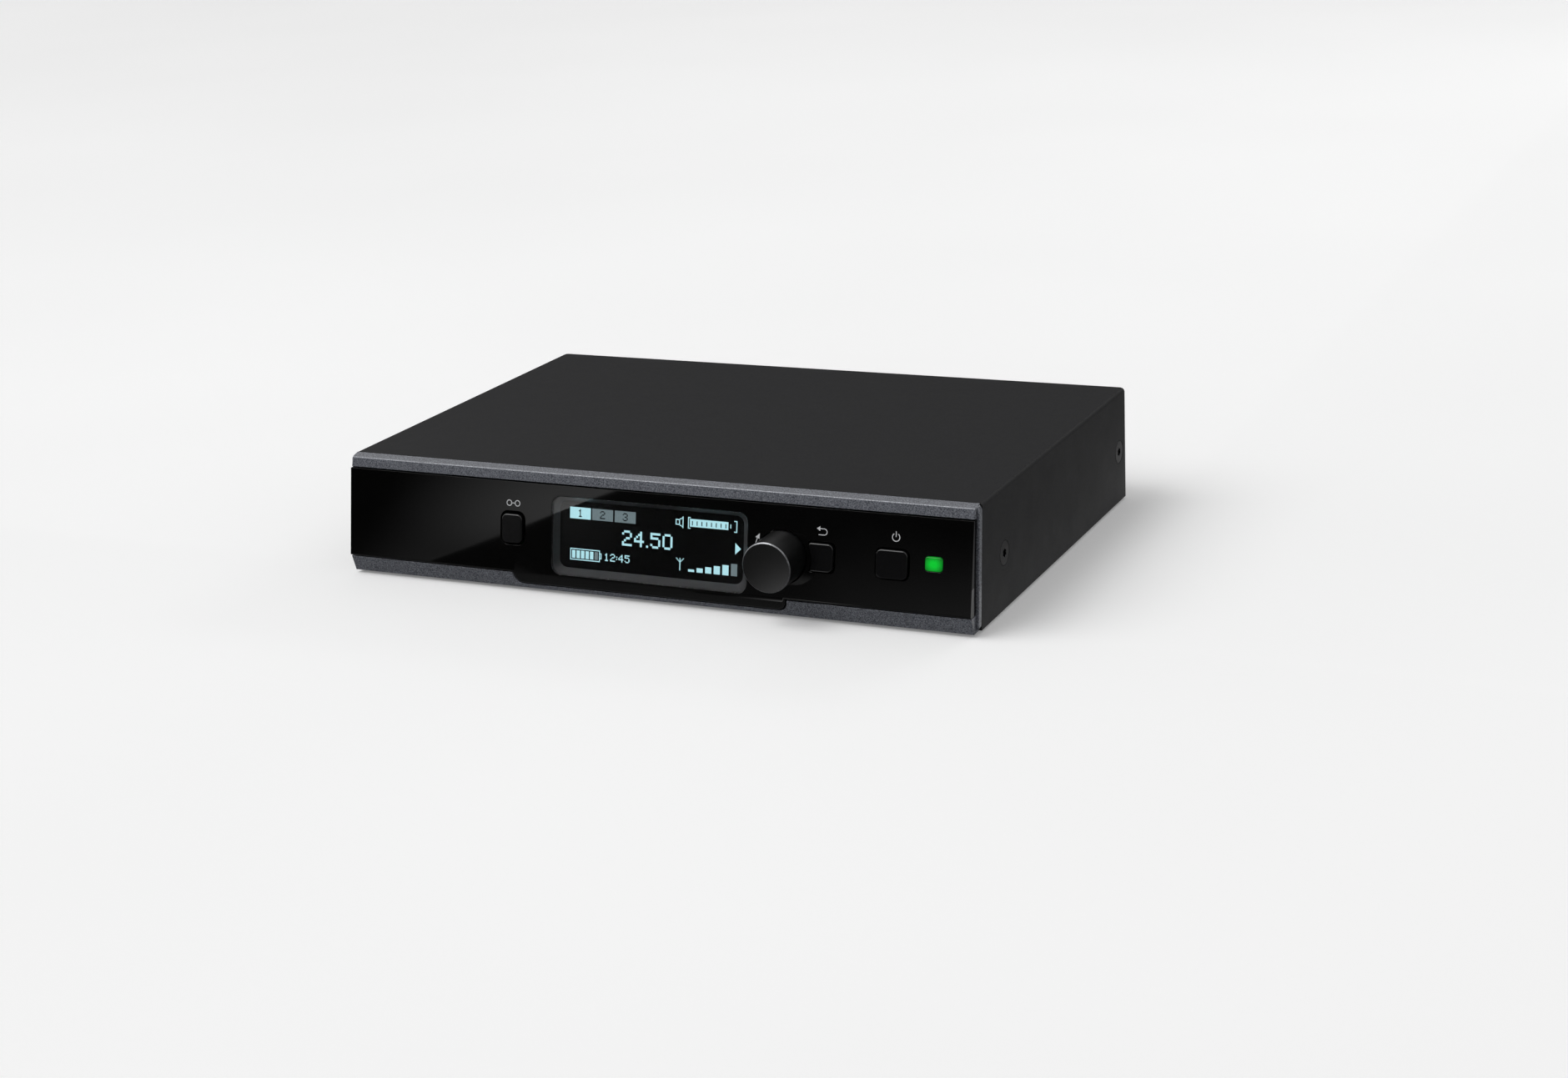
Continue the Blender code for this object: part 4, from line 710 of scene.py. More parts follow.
# ---- rear panel, its sockets and the feet
rear = {"outer": casing["depth"] - 1.3, "inner": casing["depth"] - 2.3, "low": 1.3, "high": height - 1.3,
        "half": halfWidth - 2.6, "flangeWall": 1.0, "flangeLength": 10.0, "flangeHigh": 22.0, "edge": 0.12}
xlr = {"x": -30.0, "z": 19.7, "shell": 11.0, "bore": 9.25, "deep": 15.5, "proud": 0.8, "wide": 26.0,
       "tall": 23.0, "back": 19.0, "disc": 8.95, "base": 2.0, "pin": 1.2, "pinCircle": 4.9, "pinLength": 10.0,
       "keyWidth": 2.2, "keyRise": 0.9, "rim": 0.35}
xlrScrew = {"side": 10.2, "rise": 9.0, "head": 2.2, "thick": 1.0, "shank": 1.2, "length": 6.0, "slot": 0.5,
            "slotLength": 2.5, "slotDepth": 0.6}
jack = {"x": 2.0, "z": 15.7, "wide": 16.0, "tall": 15.0, "back": 26.0, "thread": 4.6, "length": 5.0,
        "bore": 3.3, "deep": 28.0, "pitch": 0.75, "nut": 7.0, "nutThick": 2.2}
aerialSocket = {"x": halfWidth - 18.0, "z": 19.0, "size": 8.0, "back": 6.0, "thread": 3.1, "length": 9.5,
                "bore": 2.3, "deep": 5.5, "pin": 0.6, "pitch": 0.7, "nut": 4.6, "nutThick": 2.0}
inlet = {"x": halfWidth - 50.0, "z": 13.7, "wide": 9.0, "tall": 11.0, "back": 15.3, "bore": 3.15, "deep": 9.5,
         "flare": 0.35, "pin": 1.0}
port = {"x": halfWidth - 72.0, "z": 9.85, "wide": 8.0, "tall": 3.3, "back": 8.3, "wall": 0.4, "round": 1.0,
        "tongueWide": 5.6, "tongueThick": 0.7}
hook = {"x": (69.0, 75.0), "near": casing["depth"] - 1.0, "low": 8.2, "thick": 1.2, "space": 5.5,
        "tall": 11.0, "lip": 5.0, "outerBend": 1.6, "innerBend": 0.5, "edge": 0.15}
foot = {"x": halfWidth - 14.0, "y": (12.0, casing["depth"] - 14.0), "radius": 6.0, "proud": 1.0, "stud": 1.8,
        "barb": 2.3}


def disc(radius, near, far, x, z, steps=64):
    return turned([(0, near), (radius, near), (radius, far), (0, far)], (x, 0, z), "Y", steps)


def tube(inner, outer, near, far, x, z, rim=0.3, steps=64):
    loop = [(inner, near), (outer, near), (outer, far - rim), (outer - rim, far), (inner + rim, far),
            (inner, far - rim), (inner, near)]
    return turned(loop, (x, 0, z), "Y", steps)


def threadedTube(inner, outer, near, far, pitch, x, z, steps=48):
    loop = [(inner, near), (outer, near)]
    for turn in range(int((far - near - 0.6) / pitch)):
        start = near + 0.2 + turn * pitch
        loop += [(outer, start), (outer - pitch * 0.4, start + pitch * 0.4), (outer, start + pitch * 0.8)]
    loop += [(outer - 0.3, far), (inner + 0.25, far), (inner, far - 0.25), (inner, near)]
    return turned(loop, (x, 0, z), "Y", steps)


def roundPin(radius, near, far, x, z):
    profile = [(0, near), (radius, near), (radius, far - 0.6), (radius * 0.8, far - 0.2),
               (radius * 0.45, far), (0, far)]
    return turned(profile, (x, 0, z), "Y", 24)


def hexNut(radius, bore, thick, x, z):
    near = rear["outer"] + casing["gap"]
    prism = turned([(0, near), (radius, near), (radius, near + thick), (0, near + thick)], (x, 0, z), "Y", 6)
    far = near + thick
    tip = radius * 0.866 - 0.3  # a little inside the flats
    profile = [(0, near - 1), (radius + 1, near - 1), (radius + 1, far - 1), (tip, far + 0.5), (0, far + 0.5)]
    cone = turned(profile, (x, 0, z), "Y", 48)
    nut = carved(prism, cone, operation="INTERSECT")
    return carved(nut, disc(bore, near - 1, far + 1, x, z, 48))


def inLook(bm, index):
    for face in bm.faces:
        face.material_index = index
    return bm


def rearPanel():
    r, near, far = rear, rear["inner"] - 1, rear["outer"] + 1
    plate = block((-r["half"], r["half"]), (r["inner"], r["outer"]), (r["low"], r["high"]), r["edge"])
    gap = casing["gap"]
    holes = [disc(xlr["shell"] + gap, near, far, xlr["x"], xlr["z"]),
             disc(jack["thread"] + gap, near, far, jack["x"], jack["z"], 48)]
    for side in (-1, 1):
        thread, x = aerialSocket["thread"] + gap, side * aerialSocket["x"]
        holes.append(disc(thread, near, far, x, aerialSocket["z"], 48))
        screwX, screwZ = xlr["x"] + side * xlrScrew["side"], xlr["z"] + side * xlrScrew["rise"]
        holes.append(disc(xlrScrew["shank"] + gap, near, far, screwX, screwZ, 24))
    for socket, corner, steps in ((inlet, 0.6, 3), (port, port["round"] + gap, 5)):
        wide, tall = socket["wide"] + 2 * gap, socket["tall"] + 2 * gap
        holes.append(roundedSlab(socket["x"], socket["z"], wide, tall, near, far, corner, steps))
    plate = carved(plate, *holes)
    flanges = []
    for side in (-1, 1):
        flange = block(sorted((side * r["half"], side * (r["half"] - r["flangeWall"]))),
                       (r["outer"] - r["flangeLength"], r["inner"] + 0.1), (r["low"], r["flangeHigh"]), 0.1)
        y = sideScrew["y"][1]
        bore = sideScrew["shank"] + gap
        profile = [(0, -3), (bore, -3), (bore, 3), (0, 3)]
        hole = turned(profile, (side * r["half"], y, sideScrew["z"]), "X", 24)
        flanges.append(carved(flange, hole))
    piece("rearPlate", joined(plate, *flanges), looks["powder"], replaces="rear_panel")


def balancedOutput():
    c, behind = xlr, rear["inner"] - casing["gap"]
    mouth = rear["outer"] + c["proud"]
    floor = mouth - c["deep"]
    body = block((c["x"] - c["wide"] / 2, c["x"] + c["wide"] / 2), (behind - c["back"], behind),
                 (c["z"] - c["tall"] / 2, c["z"] + c["tall"] / 2), 0.4)
    body = carved(body, disc(c["bore"], floor, behind + 1, c["x"], c["z"], 96))
    collar = tube(c["bore"], c["shell"], behind - 0.05, mouth, c["x"], c["z"], c["rim"], 96)
    ridge = block((c["x"] - c["keyWidth"] / 2, c["x"] + c["keyWidth"] / 2), (floor + 3, mouth - 3),
                  (c["z"] + c["bore"] - c["keyRise"], c["z"] + c["bore"] + 0.1), 0.15)
    piece("xlrShell", joined(body, collar, ridge), looks["housing"], replaces="xlr_socket")
    near = floor + casing["gap"]
    profile = [(0, near), (c["disc"], near), (c["disc"], near + c["base"] - 0.25),
               (c["disc"] - 0.25, near + c["base"]), (0, near + c["base"])]
    carrier = turned(profile, (c["x"], 0, c["z"]), "Y", 64)
    pins = []
    for number in range(3):
        angle = radians(90 + 120 * number)
        x, z = c["x"] + c["pinCircle"] * cos(angle), c["z"] + c["pinCircle"] * sin(angle)
        pin = roundPin(c["pin"], near + c["base"] / 2, near + c["base"] + c["pinLength"], x, z)
        pins.append(inLook(pin, 1))
    piece("xlrContacts", joined(carrier, *pins), [looks["chip"], looks["nickel"]],
          replaces="xlr_contacts")
    w = xlrScrew
    for number, side in ((1, -1), (2, 1)):
        near = rear["outer"] + casing["gap"]
        at = (c["x"] + side * w["side"], near, c["z"] + side * w["rise"])
        head = turned([(0, -w["length"]), (w["shank"], -w["length"]), (w["shank"], 0), (w["head"], 0),
                       (w["head"], w["thick"] * 0.45), (w["head"] * 0.86, w["thick"] * 0.8),
                       (w["head"] * 0.5, w["thick"]), (0, w["thick"])], at, "Y", 40)
        top = near + w["thick"]
        half, reach = w["slot"] / 2, w["slotLength"] / 2
        slots = [block((at[0] - a, at[0] + a), (top - w["slotDepth"], top + 1), (at[2] - b, at[2] + b))
                 for a, b in ((half, reach), (reach, half))]
        piece("xlrScrew%d" % number, carved(head, *slots), looks["blackZinc"],
              replaces="socket_screw_%d" % number)


def jackOutput():
    j, behind = jack, rear["inner"] - casing["gap"]
    mouth = behind + j["length"]
    body = block((j["x"] - j["wide"] / 2, j["x"] + j["wide"] / 2), (behind - j["back"], behind),
                 (j["z"] - j["tall"] / 2, j["z"] + j["tall"] / 2), 0.4)
    body = carved(body, disc(j["bore"], mouth - j["deep"], behind + 1, j["x"], j["z"], 48))
    collar = threadedTube(j["bore"], j["thread"], behind - 0.05, mouth, j["pitch"], j["x"], j["z"], 64)
    piece("jackSocket", joined(body, collar), looks["housing"], replaces="jack_socket")
    nut = hexNut(j["nut"], j["thread"] + casing["gap"], j["nutThick"], j["x"], j["z"])
    piece("jackNut", nut, looks["nickel"], replaces="jack_nut", smooth=25)


def aerialSockets():
    a, behind = aerialSocket, rear["inner"] - casing["gap"]
    tip = behind + a["length"]
    for side, name in ((-1, "left"), (1, "right")):
        x = side * a["x"]
        body = block((x - a["size"] / 2, x + a["size"] / 2), (behind - a["back"], behind),
                     (a["z"] - a["size"] / 2, a["z"] + a["size"] / 2), 0.3)
        barrel = threadedTube(a["bore"], a["thread"], behind - 0.05, tip, a["pitch"], x, a["z"])
        filling = inLook(disc(a["bore"] + 0.05, behind - 0.04, tip - a["deep"], x, a["z"], 32), 1)
        pin = roundPin(a["pin"], tip - a["deep"] - 0.1, tip - 0.8, x, a["z"])
        piece(name + "AerialSocket", joined(body, barrel, filling, pin), [looks["gold"], looks["white"]],
              replaces=name + "_aerial_socket")
        nut = hexNut(a["nut"], a["thread"] + casing["gap"], a["nutThick"], x, a["z"])
        piece(name + "AerialNut", nut, looks["nickel"], replaces=name + "_aerial_nut", smooth=25)


def powerInlet():
    p, mouth = inlet, rear["outer"]
    body = block((p["x"] - p["wide"] / 2, p["x"] + p["wide"] / 2), (mouth - p["back"], mouth),
                 (p["z"] - p["tall"] / 2, p["z"] + p["tall"] / 2), 0.35)
    bottom, past = mouth - p["deep"], 0.3
    profile = [(0, bottom), (p["bore"], bottom), (p["bore"], mouth - p["flare"]),
               (p["bore"] + p["flare"] + past, mouth + past), (0, mouth + past)]
    well = turned(profile, (p["x"], 0, p["z"]), "Y", 48)
    pin = inLook(roundPin(p["pin"], bottom - 0.1, mouth - 0.5, p["x"], p["z"]), 1)
    piece("powerInlet", joined(carved(body, well), pin), [looks["housing"], looks["nickel"]],
          replaces="power_inlet")


def dataPort():
    p, mouth = port, rear["outer"]
    x, z, start, wall = p["x"], p["z"], mouth - p["back"], p["wall"]
    shell = roundedSlab(x, z, p["wide"], p["tall"], start, mouth, p["round"], 6, backEdge=0.12)
    hollow = roundedSlab(x, z, p["wide"] - 2 * wall, p["tall"] - 2 * wall, start + 1, mouth + 1,
                         p["round"] - wall, 6)
    half, thick = p["tongueWide"] / 2, p["tongueThick"] / 2
    tongue = inLook(block((x - half, x + half), (start + 0.9, mouth - 0.9), (z - thick, z + thick), 0.12), 1)
    piece("dataPort", joined(carved(shell, hollow), tongue), [looks["nickel"], looks["housing"]],
          replaces="data_port")


def cableHook():
    h = hook
    inner = h["near"] + h["thick"]
    outer = inner + h["space"]
    far, floor = outer + h["thick"], h["low"] + h["thick"]
    top = h["low"] + h["tall"]
    outline = [(h["near"], h["low"]), (far, h["low"]), (far, floor + h["lip"]), (outer, floor + h["lip"]),
               (outer, floor), (inner, floor), (inner, top), (h["near"], top)]
    bm = bmesh.new()
    bm.faces.new([bm.verts.new((h["x"][0], y, z)) for y, z in outline])
    drawn = bmesh.ops.extrude_face_region(bm, geom=bm.faces[:])
    moved = [item for item in drawn["geom"] if isinstance(item, bmesh.types.BMVert)]
    bmesh.ops.translate(bm, verts=moved, vec=(h["x"][1] - h["x"][0], 0, 0))
    bmesh.ops.recalc_face_normals(bm, faces=bm.faces[:])
    bends = ((h["outerBend"], ((far, h["low"]), (h["near"], h["low"]))),
             (h["innerBend"], ((outer, floor), (inner, floor))))
    for radius, places in bends:
        bevelEdges(bm, lambda e: span(e, 0) > 1 and any(
            hypot(e.verts[0].co.y - y, e.verts[0].co.z - z) < 1e-3 for y, z in places), radius, 5)
    bevelEdges(bm, lambda e: e.calc_face_angle(0) > 1.0, h["edge"], 2)
    piece("cableHook", bm, looks["blackZinc"], replaces="cable_hook")


def rubberFeet():
    f, low, r = foot, -foot["proud"], foot["radius"]
    top = casing["sheet"] + casing["gap"]
    profile = [(0, low + 0.1), (r - 2.2, low + 0.1), (r - 2.0, low), (r - 0.7, low), (r - 0.2, low + 0.15),
               (r, low + 0.45), (r, -casing["gap"]), (f["stud"], -casing["gap"]), (f["stud"], top),
               (f["barb"], top), (f["stud"], top + 0.6), (0, top + 0.6)]
    places = [(side * f["x"], y) for side in (-1, 1) for y in f["y"]]
    for number, (x, y) in enumerate(places, start=1):
        piece("rubberFoot%d" % number, turned(profile, (x, y, 0), "Z", 56), looks["rubber"],
              replaces="foot_%d" % number)


rearPanel()
balancedOutput()
jackOutput()
aerialSockets()
powerInlet()
dataPort()
cableHook()
rubberFeet()
print("rear and feet done")


# ---- what the display shows: plain numbers, level bars and common symbols
screen = {"front": display["screen"] - 0.06, "thick": 0.03, "dot": pixel, "ahead": 0.035}
layout = {  # left, right, foot and head of each field, from the middle of the panel's foot
    "tabs": {"1": -27.05, "2": -19.35, "3": -11.55}, "tabWide": 7.2, "tabFoot": 17.92, "tabHead": 21.45,
    "tabMark": (2.75, 20.9), "speaker": (9.2, 21.48), "levelStart": (13.35, 14.2, 18.0, 21.5),
    "level": (14.0, 26.75, 18.65, 21.0), "levelTip": (27.4, 27.7, 19.2, 20.4),
    "levelEnd": (28.7, 29.7, 18.05, 21.55), "ticks": 8, "tick": (14.68, 14.98, 19.1, 20.4), "tickStep": 1.59,
    "tuning": (-8.9, 15.7), "pointer": ((29.2, 11.55), (31.1, 13.3), (29.2, 15.0)),
    "battery": (-26.82, -16.45, 5.18, 8.77), "batteryTip": (-16.45, -15.9, 6.1, 7.9), "cells": 6,
    "cell": (-26.15, -24.98, 5.78, 8.17), "cellStep": 1.565, "clock": (-15.0, 8.1), "aerial": (9.6, 8.92),
    "bars": 6, "bar": (13.7, 15.75, 5.05, 5.78), "barStep": 2.85, "barRise": 0.58,
}
digits = {
    "0": "01110 10001 10001 10001 10001 10001 01110",
    "1": "00100 01100 00100 00100 00100 00100 01110",
    "2": "01110 10001 00001 00110 01000 10000 11111",
    "3": "01110 10001 00001 00110 00001 10001 01110",
    "4": "00010 00110 01010 10010 11111 00010 00010",
    "5": "11111 10000 11110 00001 00001 10001 01110",
    ":": "0 0 1 0 1 0 0",
    ".": "0 0 0 0 0 0 1",
}
speaker = ("000000001 000000011 000001101 111110001 100010001 100010001 100010001 100010001 111110001 "
           "000001101 000000011 000000001")
aerial = "100010001 010010010 001010100 000111000" + " 000010000" * 9


def flatDots(bm, rows, left, top, dot):
    for row, line in enumerate(rows.split()):
        for column, mark in enumerate(line):
            if mark == "1":
                x, z = left + column * dot, top - row * dot
                flatBar(bm, x, x + dot, z - dot, z)


def flatBar(bm, x0, x1, z0, z1):
    place = Matrix.Translation(((x0 + x1) / 2, 0, (z0 + z1) / 2))
    size = Matrix.Diagonal(((x1 - x0) / 2, 1, (z1 - z0) / 2, 1))
    upright = Matrix.Rotation(pi / 2, 4, "X")
    bmesh.ops.create_grid(bm, x_segments=1, y_segments=1, size=1, matrix=place @ size @ upright)


def flatFrame(bm, x0, x1, z0, z1, line, sides="LRTB"):
    if "L" in sides:
        flatBar(bm, x0, x0 + line, z0, z1)
    if "R" in sides:
        flatBar(bm, x1 - line, x1, z0, z1)
    if "T" in sides:
        flatBar(bm, x0 + line * ("L" in sides), x1 - line * ("R" in sides), z1 - line, z1)
    if "B" in sides:
        flatBar(bm, x0 + line * ("L" in sides), x1 - line * ("R" in sides), z0, z0 + line)


def flatPolygon(bm, points):
    bm.faces.new([bm.verts.new((x, 0, z)) for x, z in points])


def dottedNumber(bm, text, left, top, dot, space=1):
    for mark in text:
        flatDots(bm, digits[mark], left, top, dot)
        left += (len(digits[mark].split()[0]) + space) * dot


def thickened(bm, front, thick):
    bmesh.ops.remove_doubles(bm, verts=bm.verts[:], dist=1e-3)
    bmesh.ops.dissolve_limit(bm, angle_limit=radians(1), verts=bm.verts[:], edges=bm.edges[:])
    drawn = bmesh.ops.extrude_face_region(bm, geom=bm.faces[:])
    moved = [item for item in drawn["geom"] if isinstance(item, bmesh.types.BMVert)]
    bmesh.ops.translate(bm, verts=moved, vec=(0, thick, 0))
    bmesh.ops.recalc_face_normals(bm, faces=bm.faces[:])
    bmesh.ops.translate(bm, verts=bm.verts[:], vec=(0, front, 0))
    return bm


def shifted(box, across):
    left, right, foot, head = box
    return left + across, right + across, foot, head


def screenContent():
    dot = screen["dot"]
    lit, dim, dark = bmesh.new(), bmesh.new(), bmesh.new()
    for mark, left in layout["tabs"].items():
        tab = lit if mark == "1" else dim
        flatBar(tab, left, left + layout["tabWide"], layout["tabFoot"], layout["tabHead"])
        dottedNumber(dark, mark, left + layout["tabMark"][0], layout["tabMark"][1], 0.345)
    flatDots(lit, speaker, *layout["speaker"], dot)
    flatFrame(lit, *layout["levelStart"], dot, "LTB")
    flatBar(lit, *layout["level"])
    for tick in range(layout["ticks"]):
        flatBar(dark, *shifted(layout["tick"], tick * layout["tickStep"]))
    flatBar(lit, *layout["levelTip"])
    flatFrame(lit, *layout["levelEnd"], dot, "RTB")
    dottedNumber(lit, "24.50", *layout["tuning"], 0.67, 1.15)
    flatPolygon(lit, layout["pointer"])
    flatFrame(lit, *layout["battery"], dot)
    flatFrame(lit, *layout["batteryTip"], dot, "RTB")
    for cell in range(layout["cells"]):
        empty = cell == layout["cells"] - 1
        flatBar(dim if empty else lit, *shifted(layout["cell"], cell * layout["cellStep"]))
    dottedNumber(lit, "12:45", *layout["clock"], 0.335, 1.3)
    flatDots(lit, aerial, *layout["aerial"], dot)
    for step in range(layout["bars"]):
        left, right, foot, head = shifted(layout["bar"], step * layout["barStep"])
        weak = step == layout["bars"] - 1
        flatBar(dim if weak else lit, left, right, foot, head + step * layout["barRise"])
    for name, bm, look, ahead in (("litSegments", lit, "lit", 0), ("dimSegments", dim, "dim", 0),
                                  ("darkSegments", dark, "screen", screen["ahead"])):
        segments = thickened(bm, screen["front"] - ahead, screen["thick"])
        piece(name, tilted(segments), looks[look])


# ---- symbols printed on the panel
symbols = {"line": 0.24, "ahead": 0.02, "thick": 0.03,
           "power": (81.65, 21.5, 1.15), "powerBar": (21.6, 23.2),
           "link": ((-46.75, 21.4, 0.85), (-43.85, 21.4, 0.85)), "linkBar": (-46.1, -44.5),
           "back": (59.2, 21.15, 0.9), "backUpper": 57.9, "backLower": 57.4,
           "backHead": ((57.9, 22.75), (56.8, 22.05), (57.9, 21.35)),
           "arrowStem": ((37.22, 16.25), (37.46, 16.17), (37.97, 17.62), (37.73, 17.7)),
           "arrowHead": ((37.2, 17.9), (38.5, 17.35), (38.6, 19.1))}


def flatArc(bm, x, z, radius, line, start, end, steps=24):  # angles in degrees, from +X towards +Z
    inner, outer = ((x + r * cos(radians(start)), 0, z + r * sin(radians(start)))
                    for r in (radius - line / 2, radius + line / 2))
    first = bm.edges.new((bm.verts.new(inner), bm.verts.new(outer)))
    bmesh.ops.spin(bm, geom=[first, *first.verts], cent=(x, 0, z), axis=(0, -1, 0),
                   angle=radians(end - start), steps=steps)


def printedSymbols():
    power, link, back, arrow = (bmesh.new() for _ in range(4))
    s, line = symbols, symbols["line"]
    half = line / 2
    flatArc(power, *s["power"], line, 122, 418, 32)
    x = s["power"][0]
    flatBar(power, x - half, x + half, *s["powerBar"])
    for ring in s["link"]:
        flatArc(link, *ring, line, 0, 360, 32)
    z = s["link"][0][1]
    flatBar(link, *s["linkBar"], z - half, z + half)
    x, z, radius = s["back"]
    flatArc(back, x, z, radius, line, -90, 90, 20)
    flatBar(back, s["backUpper"], x, z + radius - half, z + radius + half)
    flatBar(back, s["backLower"], x, z - radius - half, z - radius + half)
    flatPolygon(back, s["backHead"])
    flatPolygon(arrow, s["arrowStem"])
    flatPolygon(arrow, s["arrowHead"])
    drawn = {"powerSymbol": power, "linkSymbol": link, "backSymbol": back, "turnArrow": arrow}
    for name, bm in drawn.items():
        piece(name, tilted(thickened(bm, -s["ahead"], s["thick"])), looks["ink"])


screenContent()
printedSymbols()
print("display and symbols done")

# ---- the CAD nodes that stay, with their finishes
kept = {
    "zinc": ["base_chassis", "board_screw_1", "board_screw_2", "board_screw_3", "board_screw_4"],
    "screen": ["display_module"],
    "frame": ["link_plunger", "back_plunger", "power_plunger", "encoder_rotor", "power_coil"],
    "housing": ["link_switch", "back_switch", "power_switch"],
    "chip": ["status_lamp", "signal_processor", "audio_converter"],
    "board": ["front_board", "main_board", "radio_board"],
    "nickel": ["encoder_shaft"],
    "tin": ["encoder_body", "radio_can"],
    "ribbon": ["ribbon_cable"],
    "sleeve": ["left_aerial_lead", "right_aerial_lead"],
    "can": ["capacitor_1", "capacitor_2"],
}
for look, names in kept.items():
    for name in names:
        slots = nodes[name].material_slots
        if len(slots):
            for slot in slots:
                slot.material = looks[look]
        else:
            nodes[name].data.materials.append(looks[look])
print("frame nodes finished")

# ---- camera, at the photograph's place
camera = {"lens": 56.607, "sensor": 36.0, "at": (0.344989, -0.683649, 0.243851),
          "turn": (72.1795, 2.9747, 24.9143)}
lens = bpy.data.cameras.new("productCamera")
lens.lens = camera["lens"]
lens.sensor_width = camera["sensor"]
cameraObject = bpy.data.objects.new("productCamera", lens)
cameraObject.location = camera["at"]
cameraObject.rotation_euler = [radians(a) for a in camera["turn"]]
bpy.context.scene.collection.objects.link(cameraObject)
bpy.context.scene.camera = cameraObject

# ---- studio
studio = {"world": 0.4, "seen": 1.0, "sun": 1.4, "sunSpread": 50.0, "sunTurn": (38.0, -18.0, -30.0),
          "floorSize": 12.0, "floor": ("f2f2f2", "f6f6f6"), "floorLift": 0.16}
cardPlaces = {"sheen": ((-76.0, 0.0), (-150.0, -2.0), (-150.0, 62.0), (-8.0, 29.0)), "sheenDistance": 1.3,
              "wall": ((-3.0, 3.0), -1.7, (-0.02, 1.5)), "low": ((-1.6, 1.6), (-0.063, -1.7), 0.0006),
              "knob": ((0.004, 0.06), (-0.084, -0.145), 0.001), "right": ((0.12, 1.9), (-0.06, 1.9), 0.0006),
              "back": ((-2.2, 1.6), 1.9, (0.02, 1.9)), "backLevel": 0.08}
lamps = {"overheadStrip": ((-0.42, -0.36, 1.15), (0.74, 0.22), 2.4),  # place, size, brightness of its face
         "backRim": ((0.5, 1.3, 0.8), (0.7, 0.2), 3.5)}


def seenDirectly(tree, low, high):  # a strength that differs where the camera, gloss or glass looks at it
    path = addNode(tree, "LightPath").outputs
    either = addNode(tree, "Math", links={0: path["Is Camera Ray"], 1: path["Is Glossy Ray"]},
                     operation="MAXIMUM")
    seen = addNode(tree, "Math", links={0: either.outputs["Value"], 1: path["Is Transmission Ray"]},
                   operation="MAXIMUM")
    return addNode(tree, "MapRange", values={"To Min": low, "To Max": high},
                   links={"Value": seen.outputs["Value"]}).outputs["Result"]


def paleFloor():
    bm = bmesh.new()
    bmesh.ops.create_circle(bm, cap_ends=True, segments=96, radius=studio["floorSize"])
    floor = asObject(bm, "studioFloor")
    material, tree, shader = newMaterial("paleFloor", studio["floor"][0], 0.8, Specular_IOR_Level=0.1)
    grained(tree, shader, 400.0, tones=studio["floor"])
    shader.inputs["Emission Color"].default_value = (1, 1, 1, 1)
    tree.links.new(seenDirectly(tree, 0.0, studio["floorLift"]), shader.inputs["Emission Strength"])
    floor.data.materials.append(material)


def studioCard(name, corners, brightness, steps=20):
    # A card that only shows in glossy and clear surfaces; brightness is a function of its two directions.
    bm = bmesh.new()
    bmesh.ops.create_grid(bm, x_segments=steps, y_segments=steps, size=0.5)
    glow = bm.verts.layers.float.new("glow")
    for vert in bm.verts:
        u, v = vert.co.x + 0.5, vert.co.y + 0.5
        vert[glow] = brightness(u, v)
        low, high = corners[0].lerp(corners[1], u), corners[3].lerp(corners[2], u)
        vert.co = low.lerp(high, v)
    card = asObject(bm, name)
    material = bpy.data.materials.new(name)
    material.use_nodes = True
    tree = material.node_tree
    tree.nodes.clear()
    level = addNode(tree, "Attribute", attribute_name="glow").outputs["Fac"]
    light = addNode(tree, "Emission", links={"Strength": level})
    addNode(tree, "OutputMaterial", links={"Surface": light.outputs["Emission"]})
    card.data.materials.append(material)
    card.visible_camera = card.visible_diffuse = card.visible_shadow = False


def mirroredSpot(x, rise, distance):  # where the camera sees that point of the panel mirror the studio
    lean = panel["lean"]
    normal = Vector((0, -cos(lean), sin(lean)))
    foot = Vector((0, panel["footY"], panel["footZ"])) * mm + casingShift
    eye = Vector(camera["at"])
    mirrored = eye - 2 * (eye - foot).dot(normal) * normal
    spot = foot + Vector((x * mm, rise * mm * sin(lean), rise * mm * cos(lean)))
    return spot + (spot - mirrored).normalized() * distance


def easing(value):
    value = min(max(value, 0.0), 1.0)
    return value * value * (3 - 2 * value)


def lying(x, y, z):
    return [Vector(p) for p in ((x[0], y[0], z), (x[1], y[0], z), (x[1], y[1], z), (x[0], y[1], z))]


def standing(x, y, z):
    return [Vector(p) for p in ((x[0], y, z[0]), (x[1], y, z[0]), (x[1], y, z[1]), (x[0], y, z[1]))]


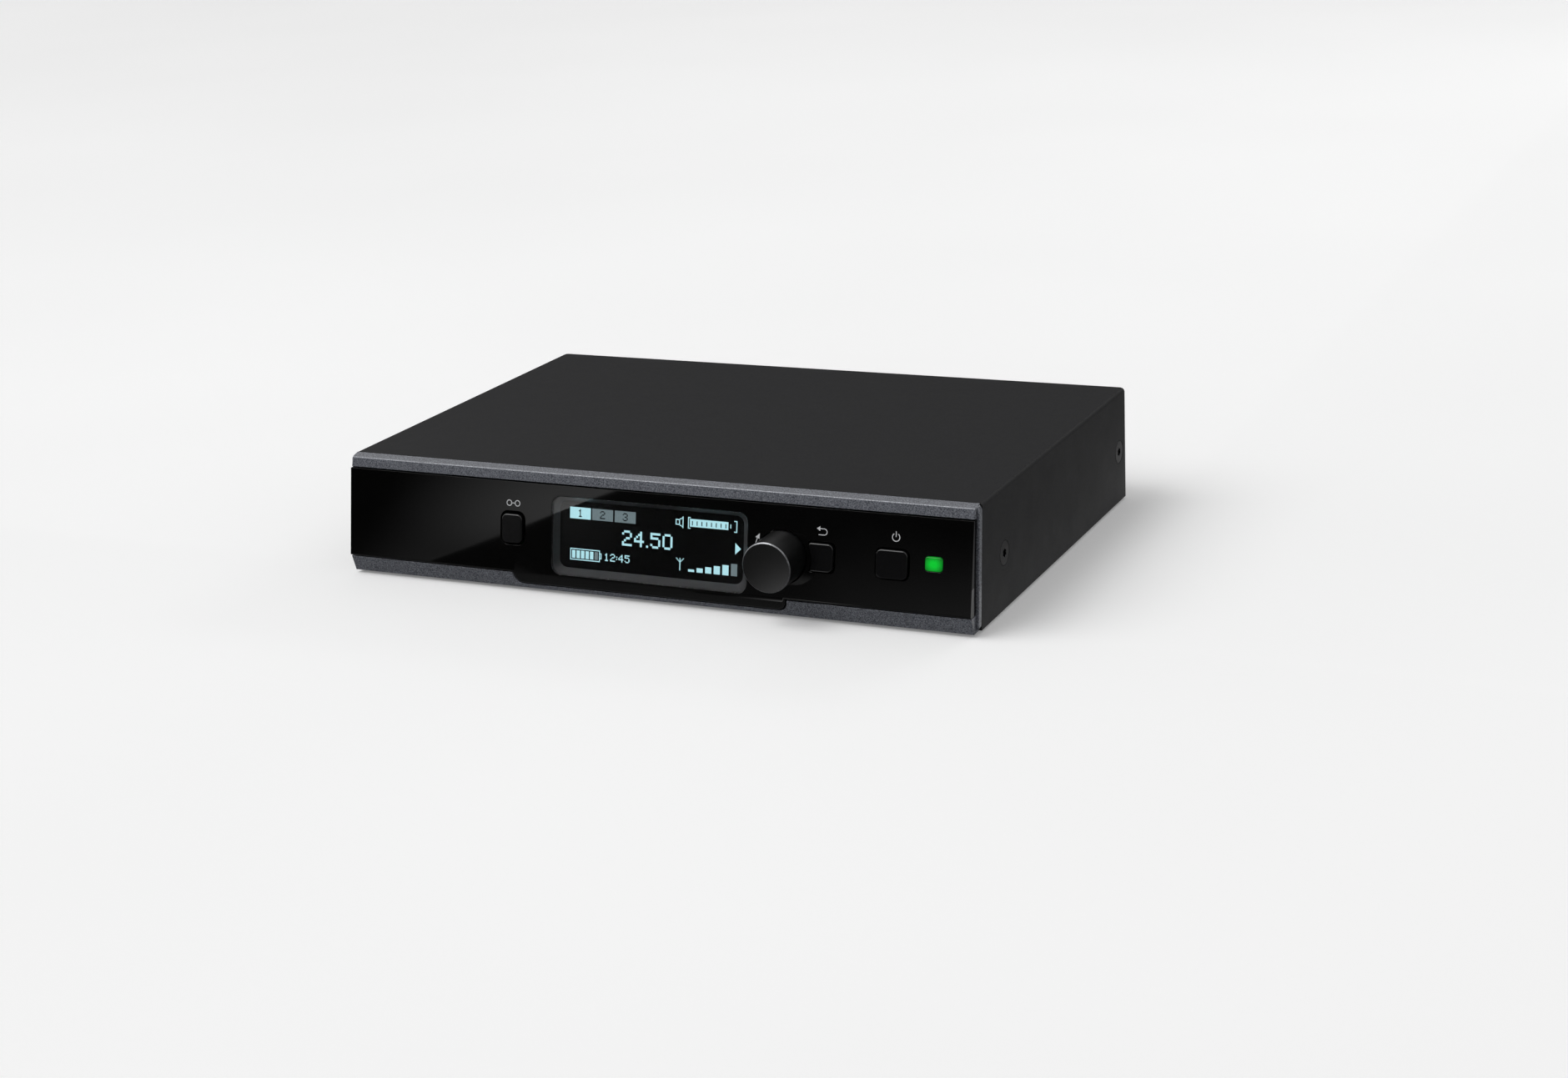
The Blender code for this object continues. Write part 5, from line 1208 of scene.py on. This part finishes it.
def cards():
    places = cardPlaces

    def sheen(u, v):  # u runs away from the edge seen in the panel, v up along it
        fading = 0.66 * (1 - easing(u * 2.0)) * (0.28 + 0.72 * easing(v * 1.5 - 0.1))
        return fading + 0.1 * (1 - easing(u * 40))

    def wall(u, v):
        return 0.22 * easing((u - 0.36) / 0.07) * (1 - easing(v * 12)) + 0.012

    def low(u, v):
        return 0.12 - 0.1 * easing(v * 8)

    def knobFill(u, v):
        across = easing((u - 0.25) * 1.8) * (1 - easing((u - 0.8) / 0.2))
        return 1.5 * across * (1 - easing((v - 0.35) / 0.65))

    def right(u, v):
        return 0.10 + 0.12 * (1 - easing(u * 6)) * (1 - easing(v * 1.5))

    corners = [mirroredSpot(x, rise, places["sheenDistance"]) for x, rise in places["sheen"]]
    studioCard("sheenCard", corners, sheen, 60)
    studioCard("darkWall", standing(*places["wall"]), wall, 50)
    studioCard("lowCard", lying(*places["low"]), low, 60)
    studioCard("knobFill", lying(*places["knob"]), knobFill, 20)
    studioCard("rightCard", lying(*places["right"]), right, 40)
    studioCard("backCard", standing(*places["back"]), lambda u, v: places["backLevel"], 4)


def areaLamp(name, place, size, level):
    lamp = bpy.data.lights.new(name, "AREA")
    lamp.shape = "RECTANGLE"
    lamp.size, lamp.size_y = size
    lamp.energy = level * pi * size[0] * size[1]
    made = bpy.data.objects.new(name, lamp)
    made.location = place
    made.rotation_euler = (-Vector(place)).to_track_quat("-Z", "Y").to_euler()
    bpy.context.scene.collection.objects.link(made)


def lights():
    world = bpy.data.worlds.new("softStudio")
    world.use_nodes = True
    back = world.node_tree.nodes["Background"]
    back.inputs["Color"].default_value = (1, 1, 1, 1)
    strength = seenDirectly(world.node_tree, studio["world"], studio["seen"])
    world.node_tree.links.new(strength, back.inputs["Strength"])
    bpy.context.scene.world = world
    sun = bpy.data.lights.new("softKey", "SUN")
    sun.energy = studio["sun"]
    sun.angle = radians(studio["sunSpread"])
    key = bpy.data.objects.new("softKey", sun)
    key.rotation_euler = [radians(a) for a in studio["sunTurn"]]
    bpy.context.scene.collection.objects.link(key)
    for name, values in lamps.items():
        areaLamp(name, *values)


paleFloor()
cards()
lights()
bpy.context.scene.view_settings.view_transform = "Standard"
print("studio done")
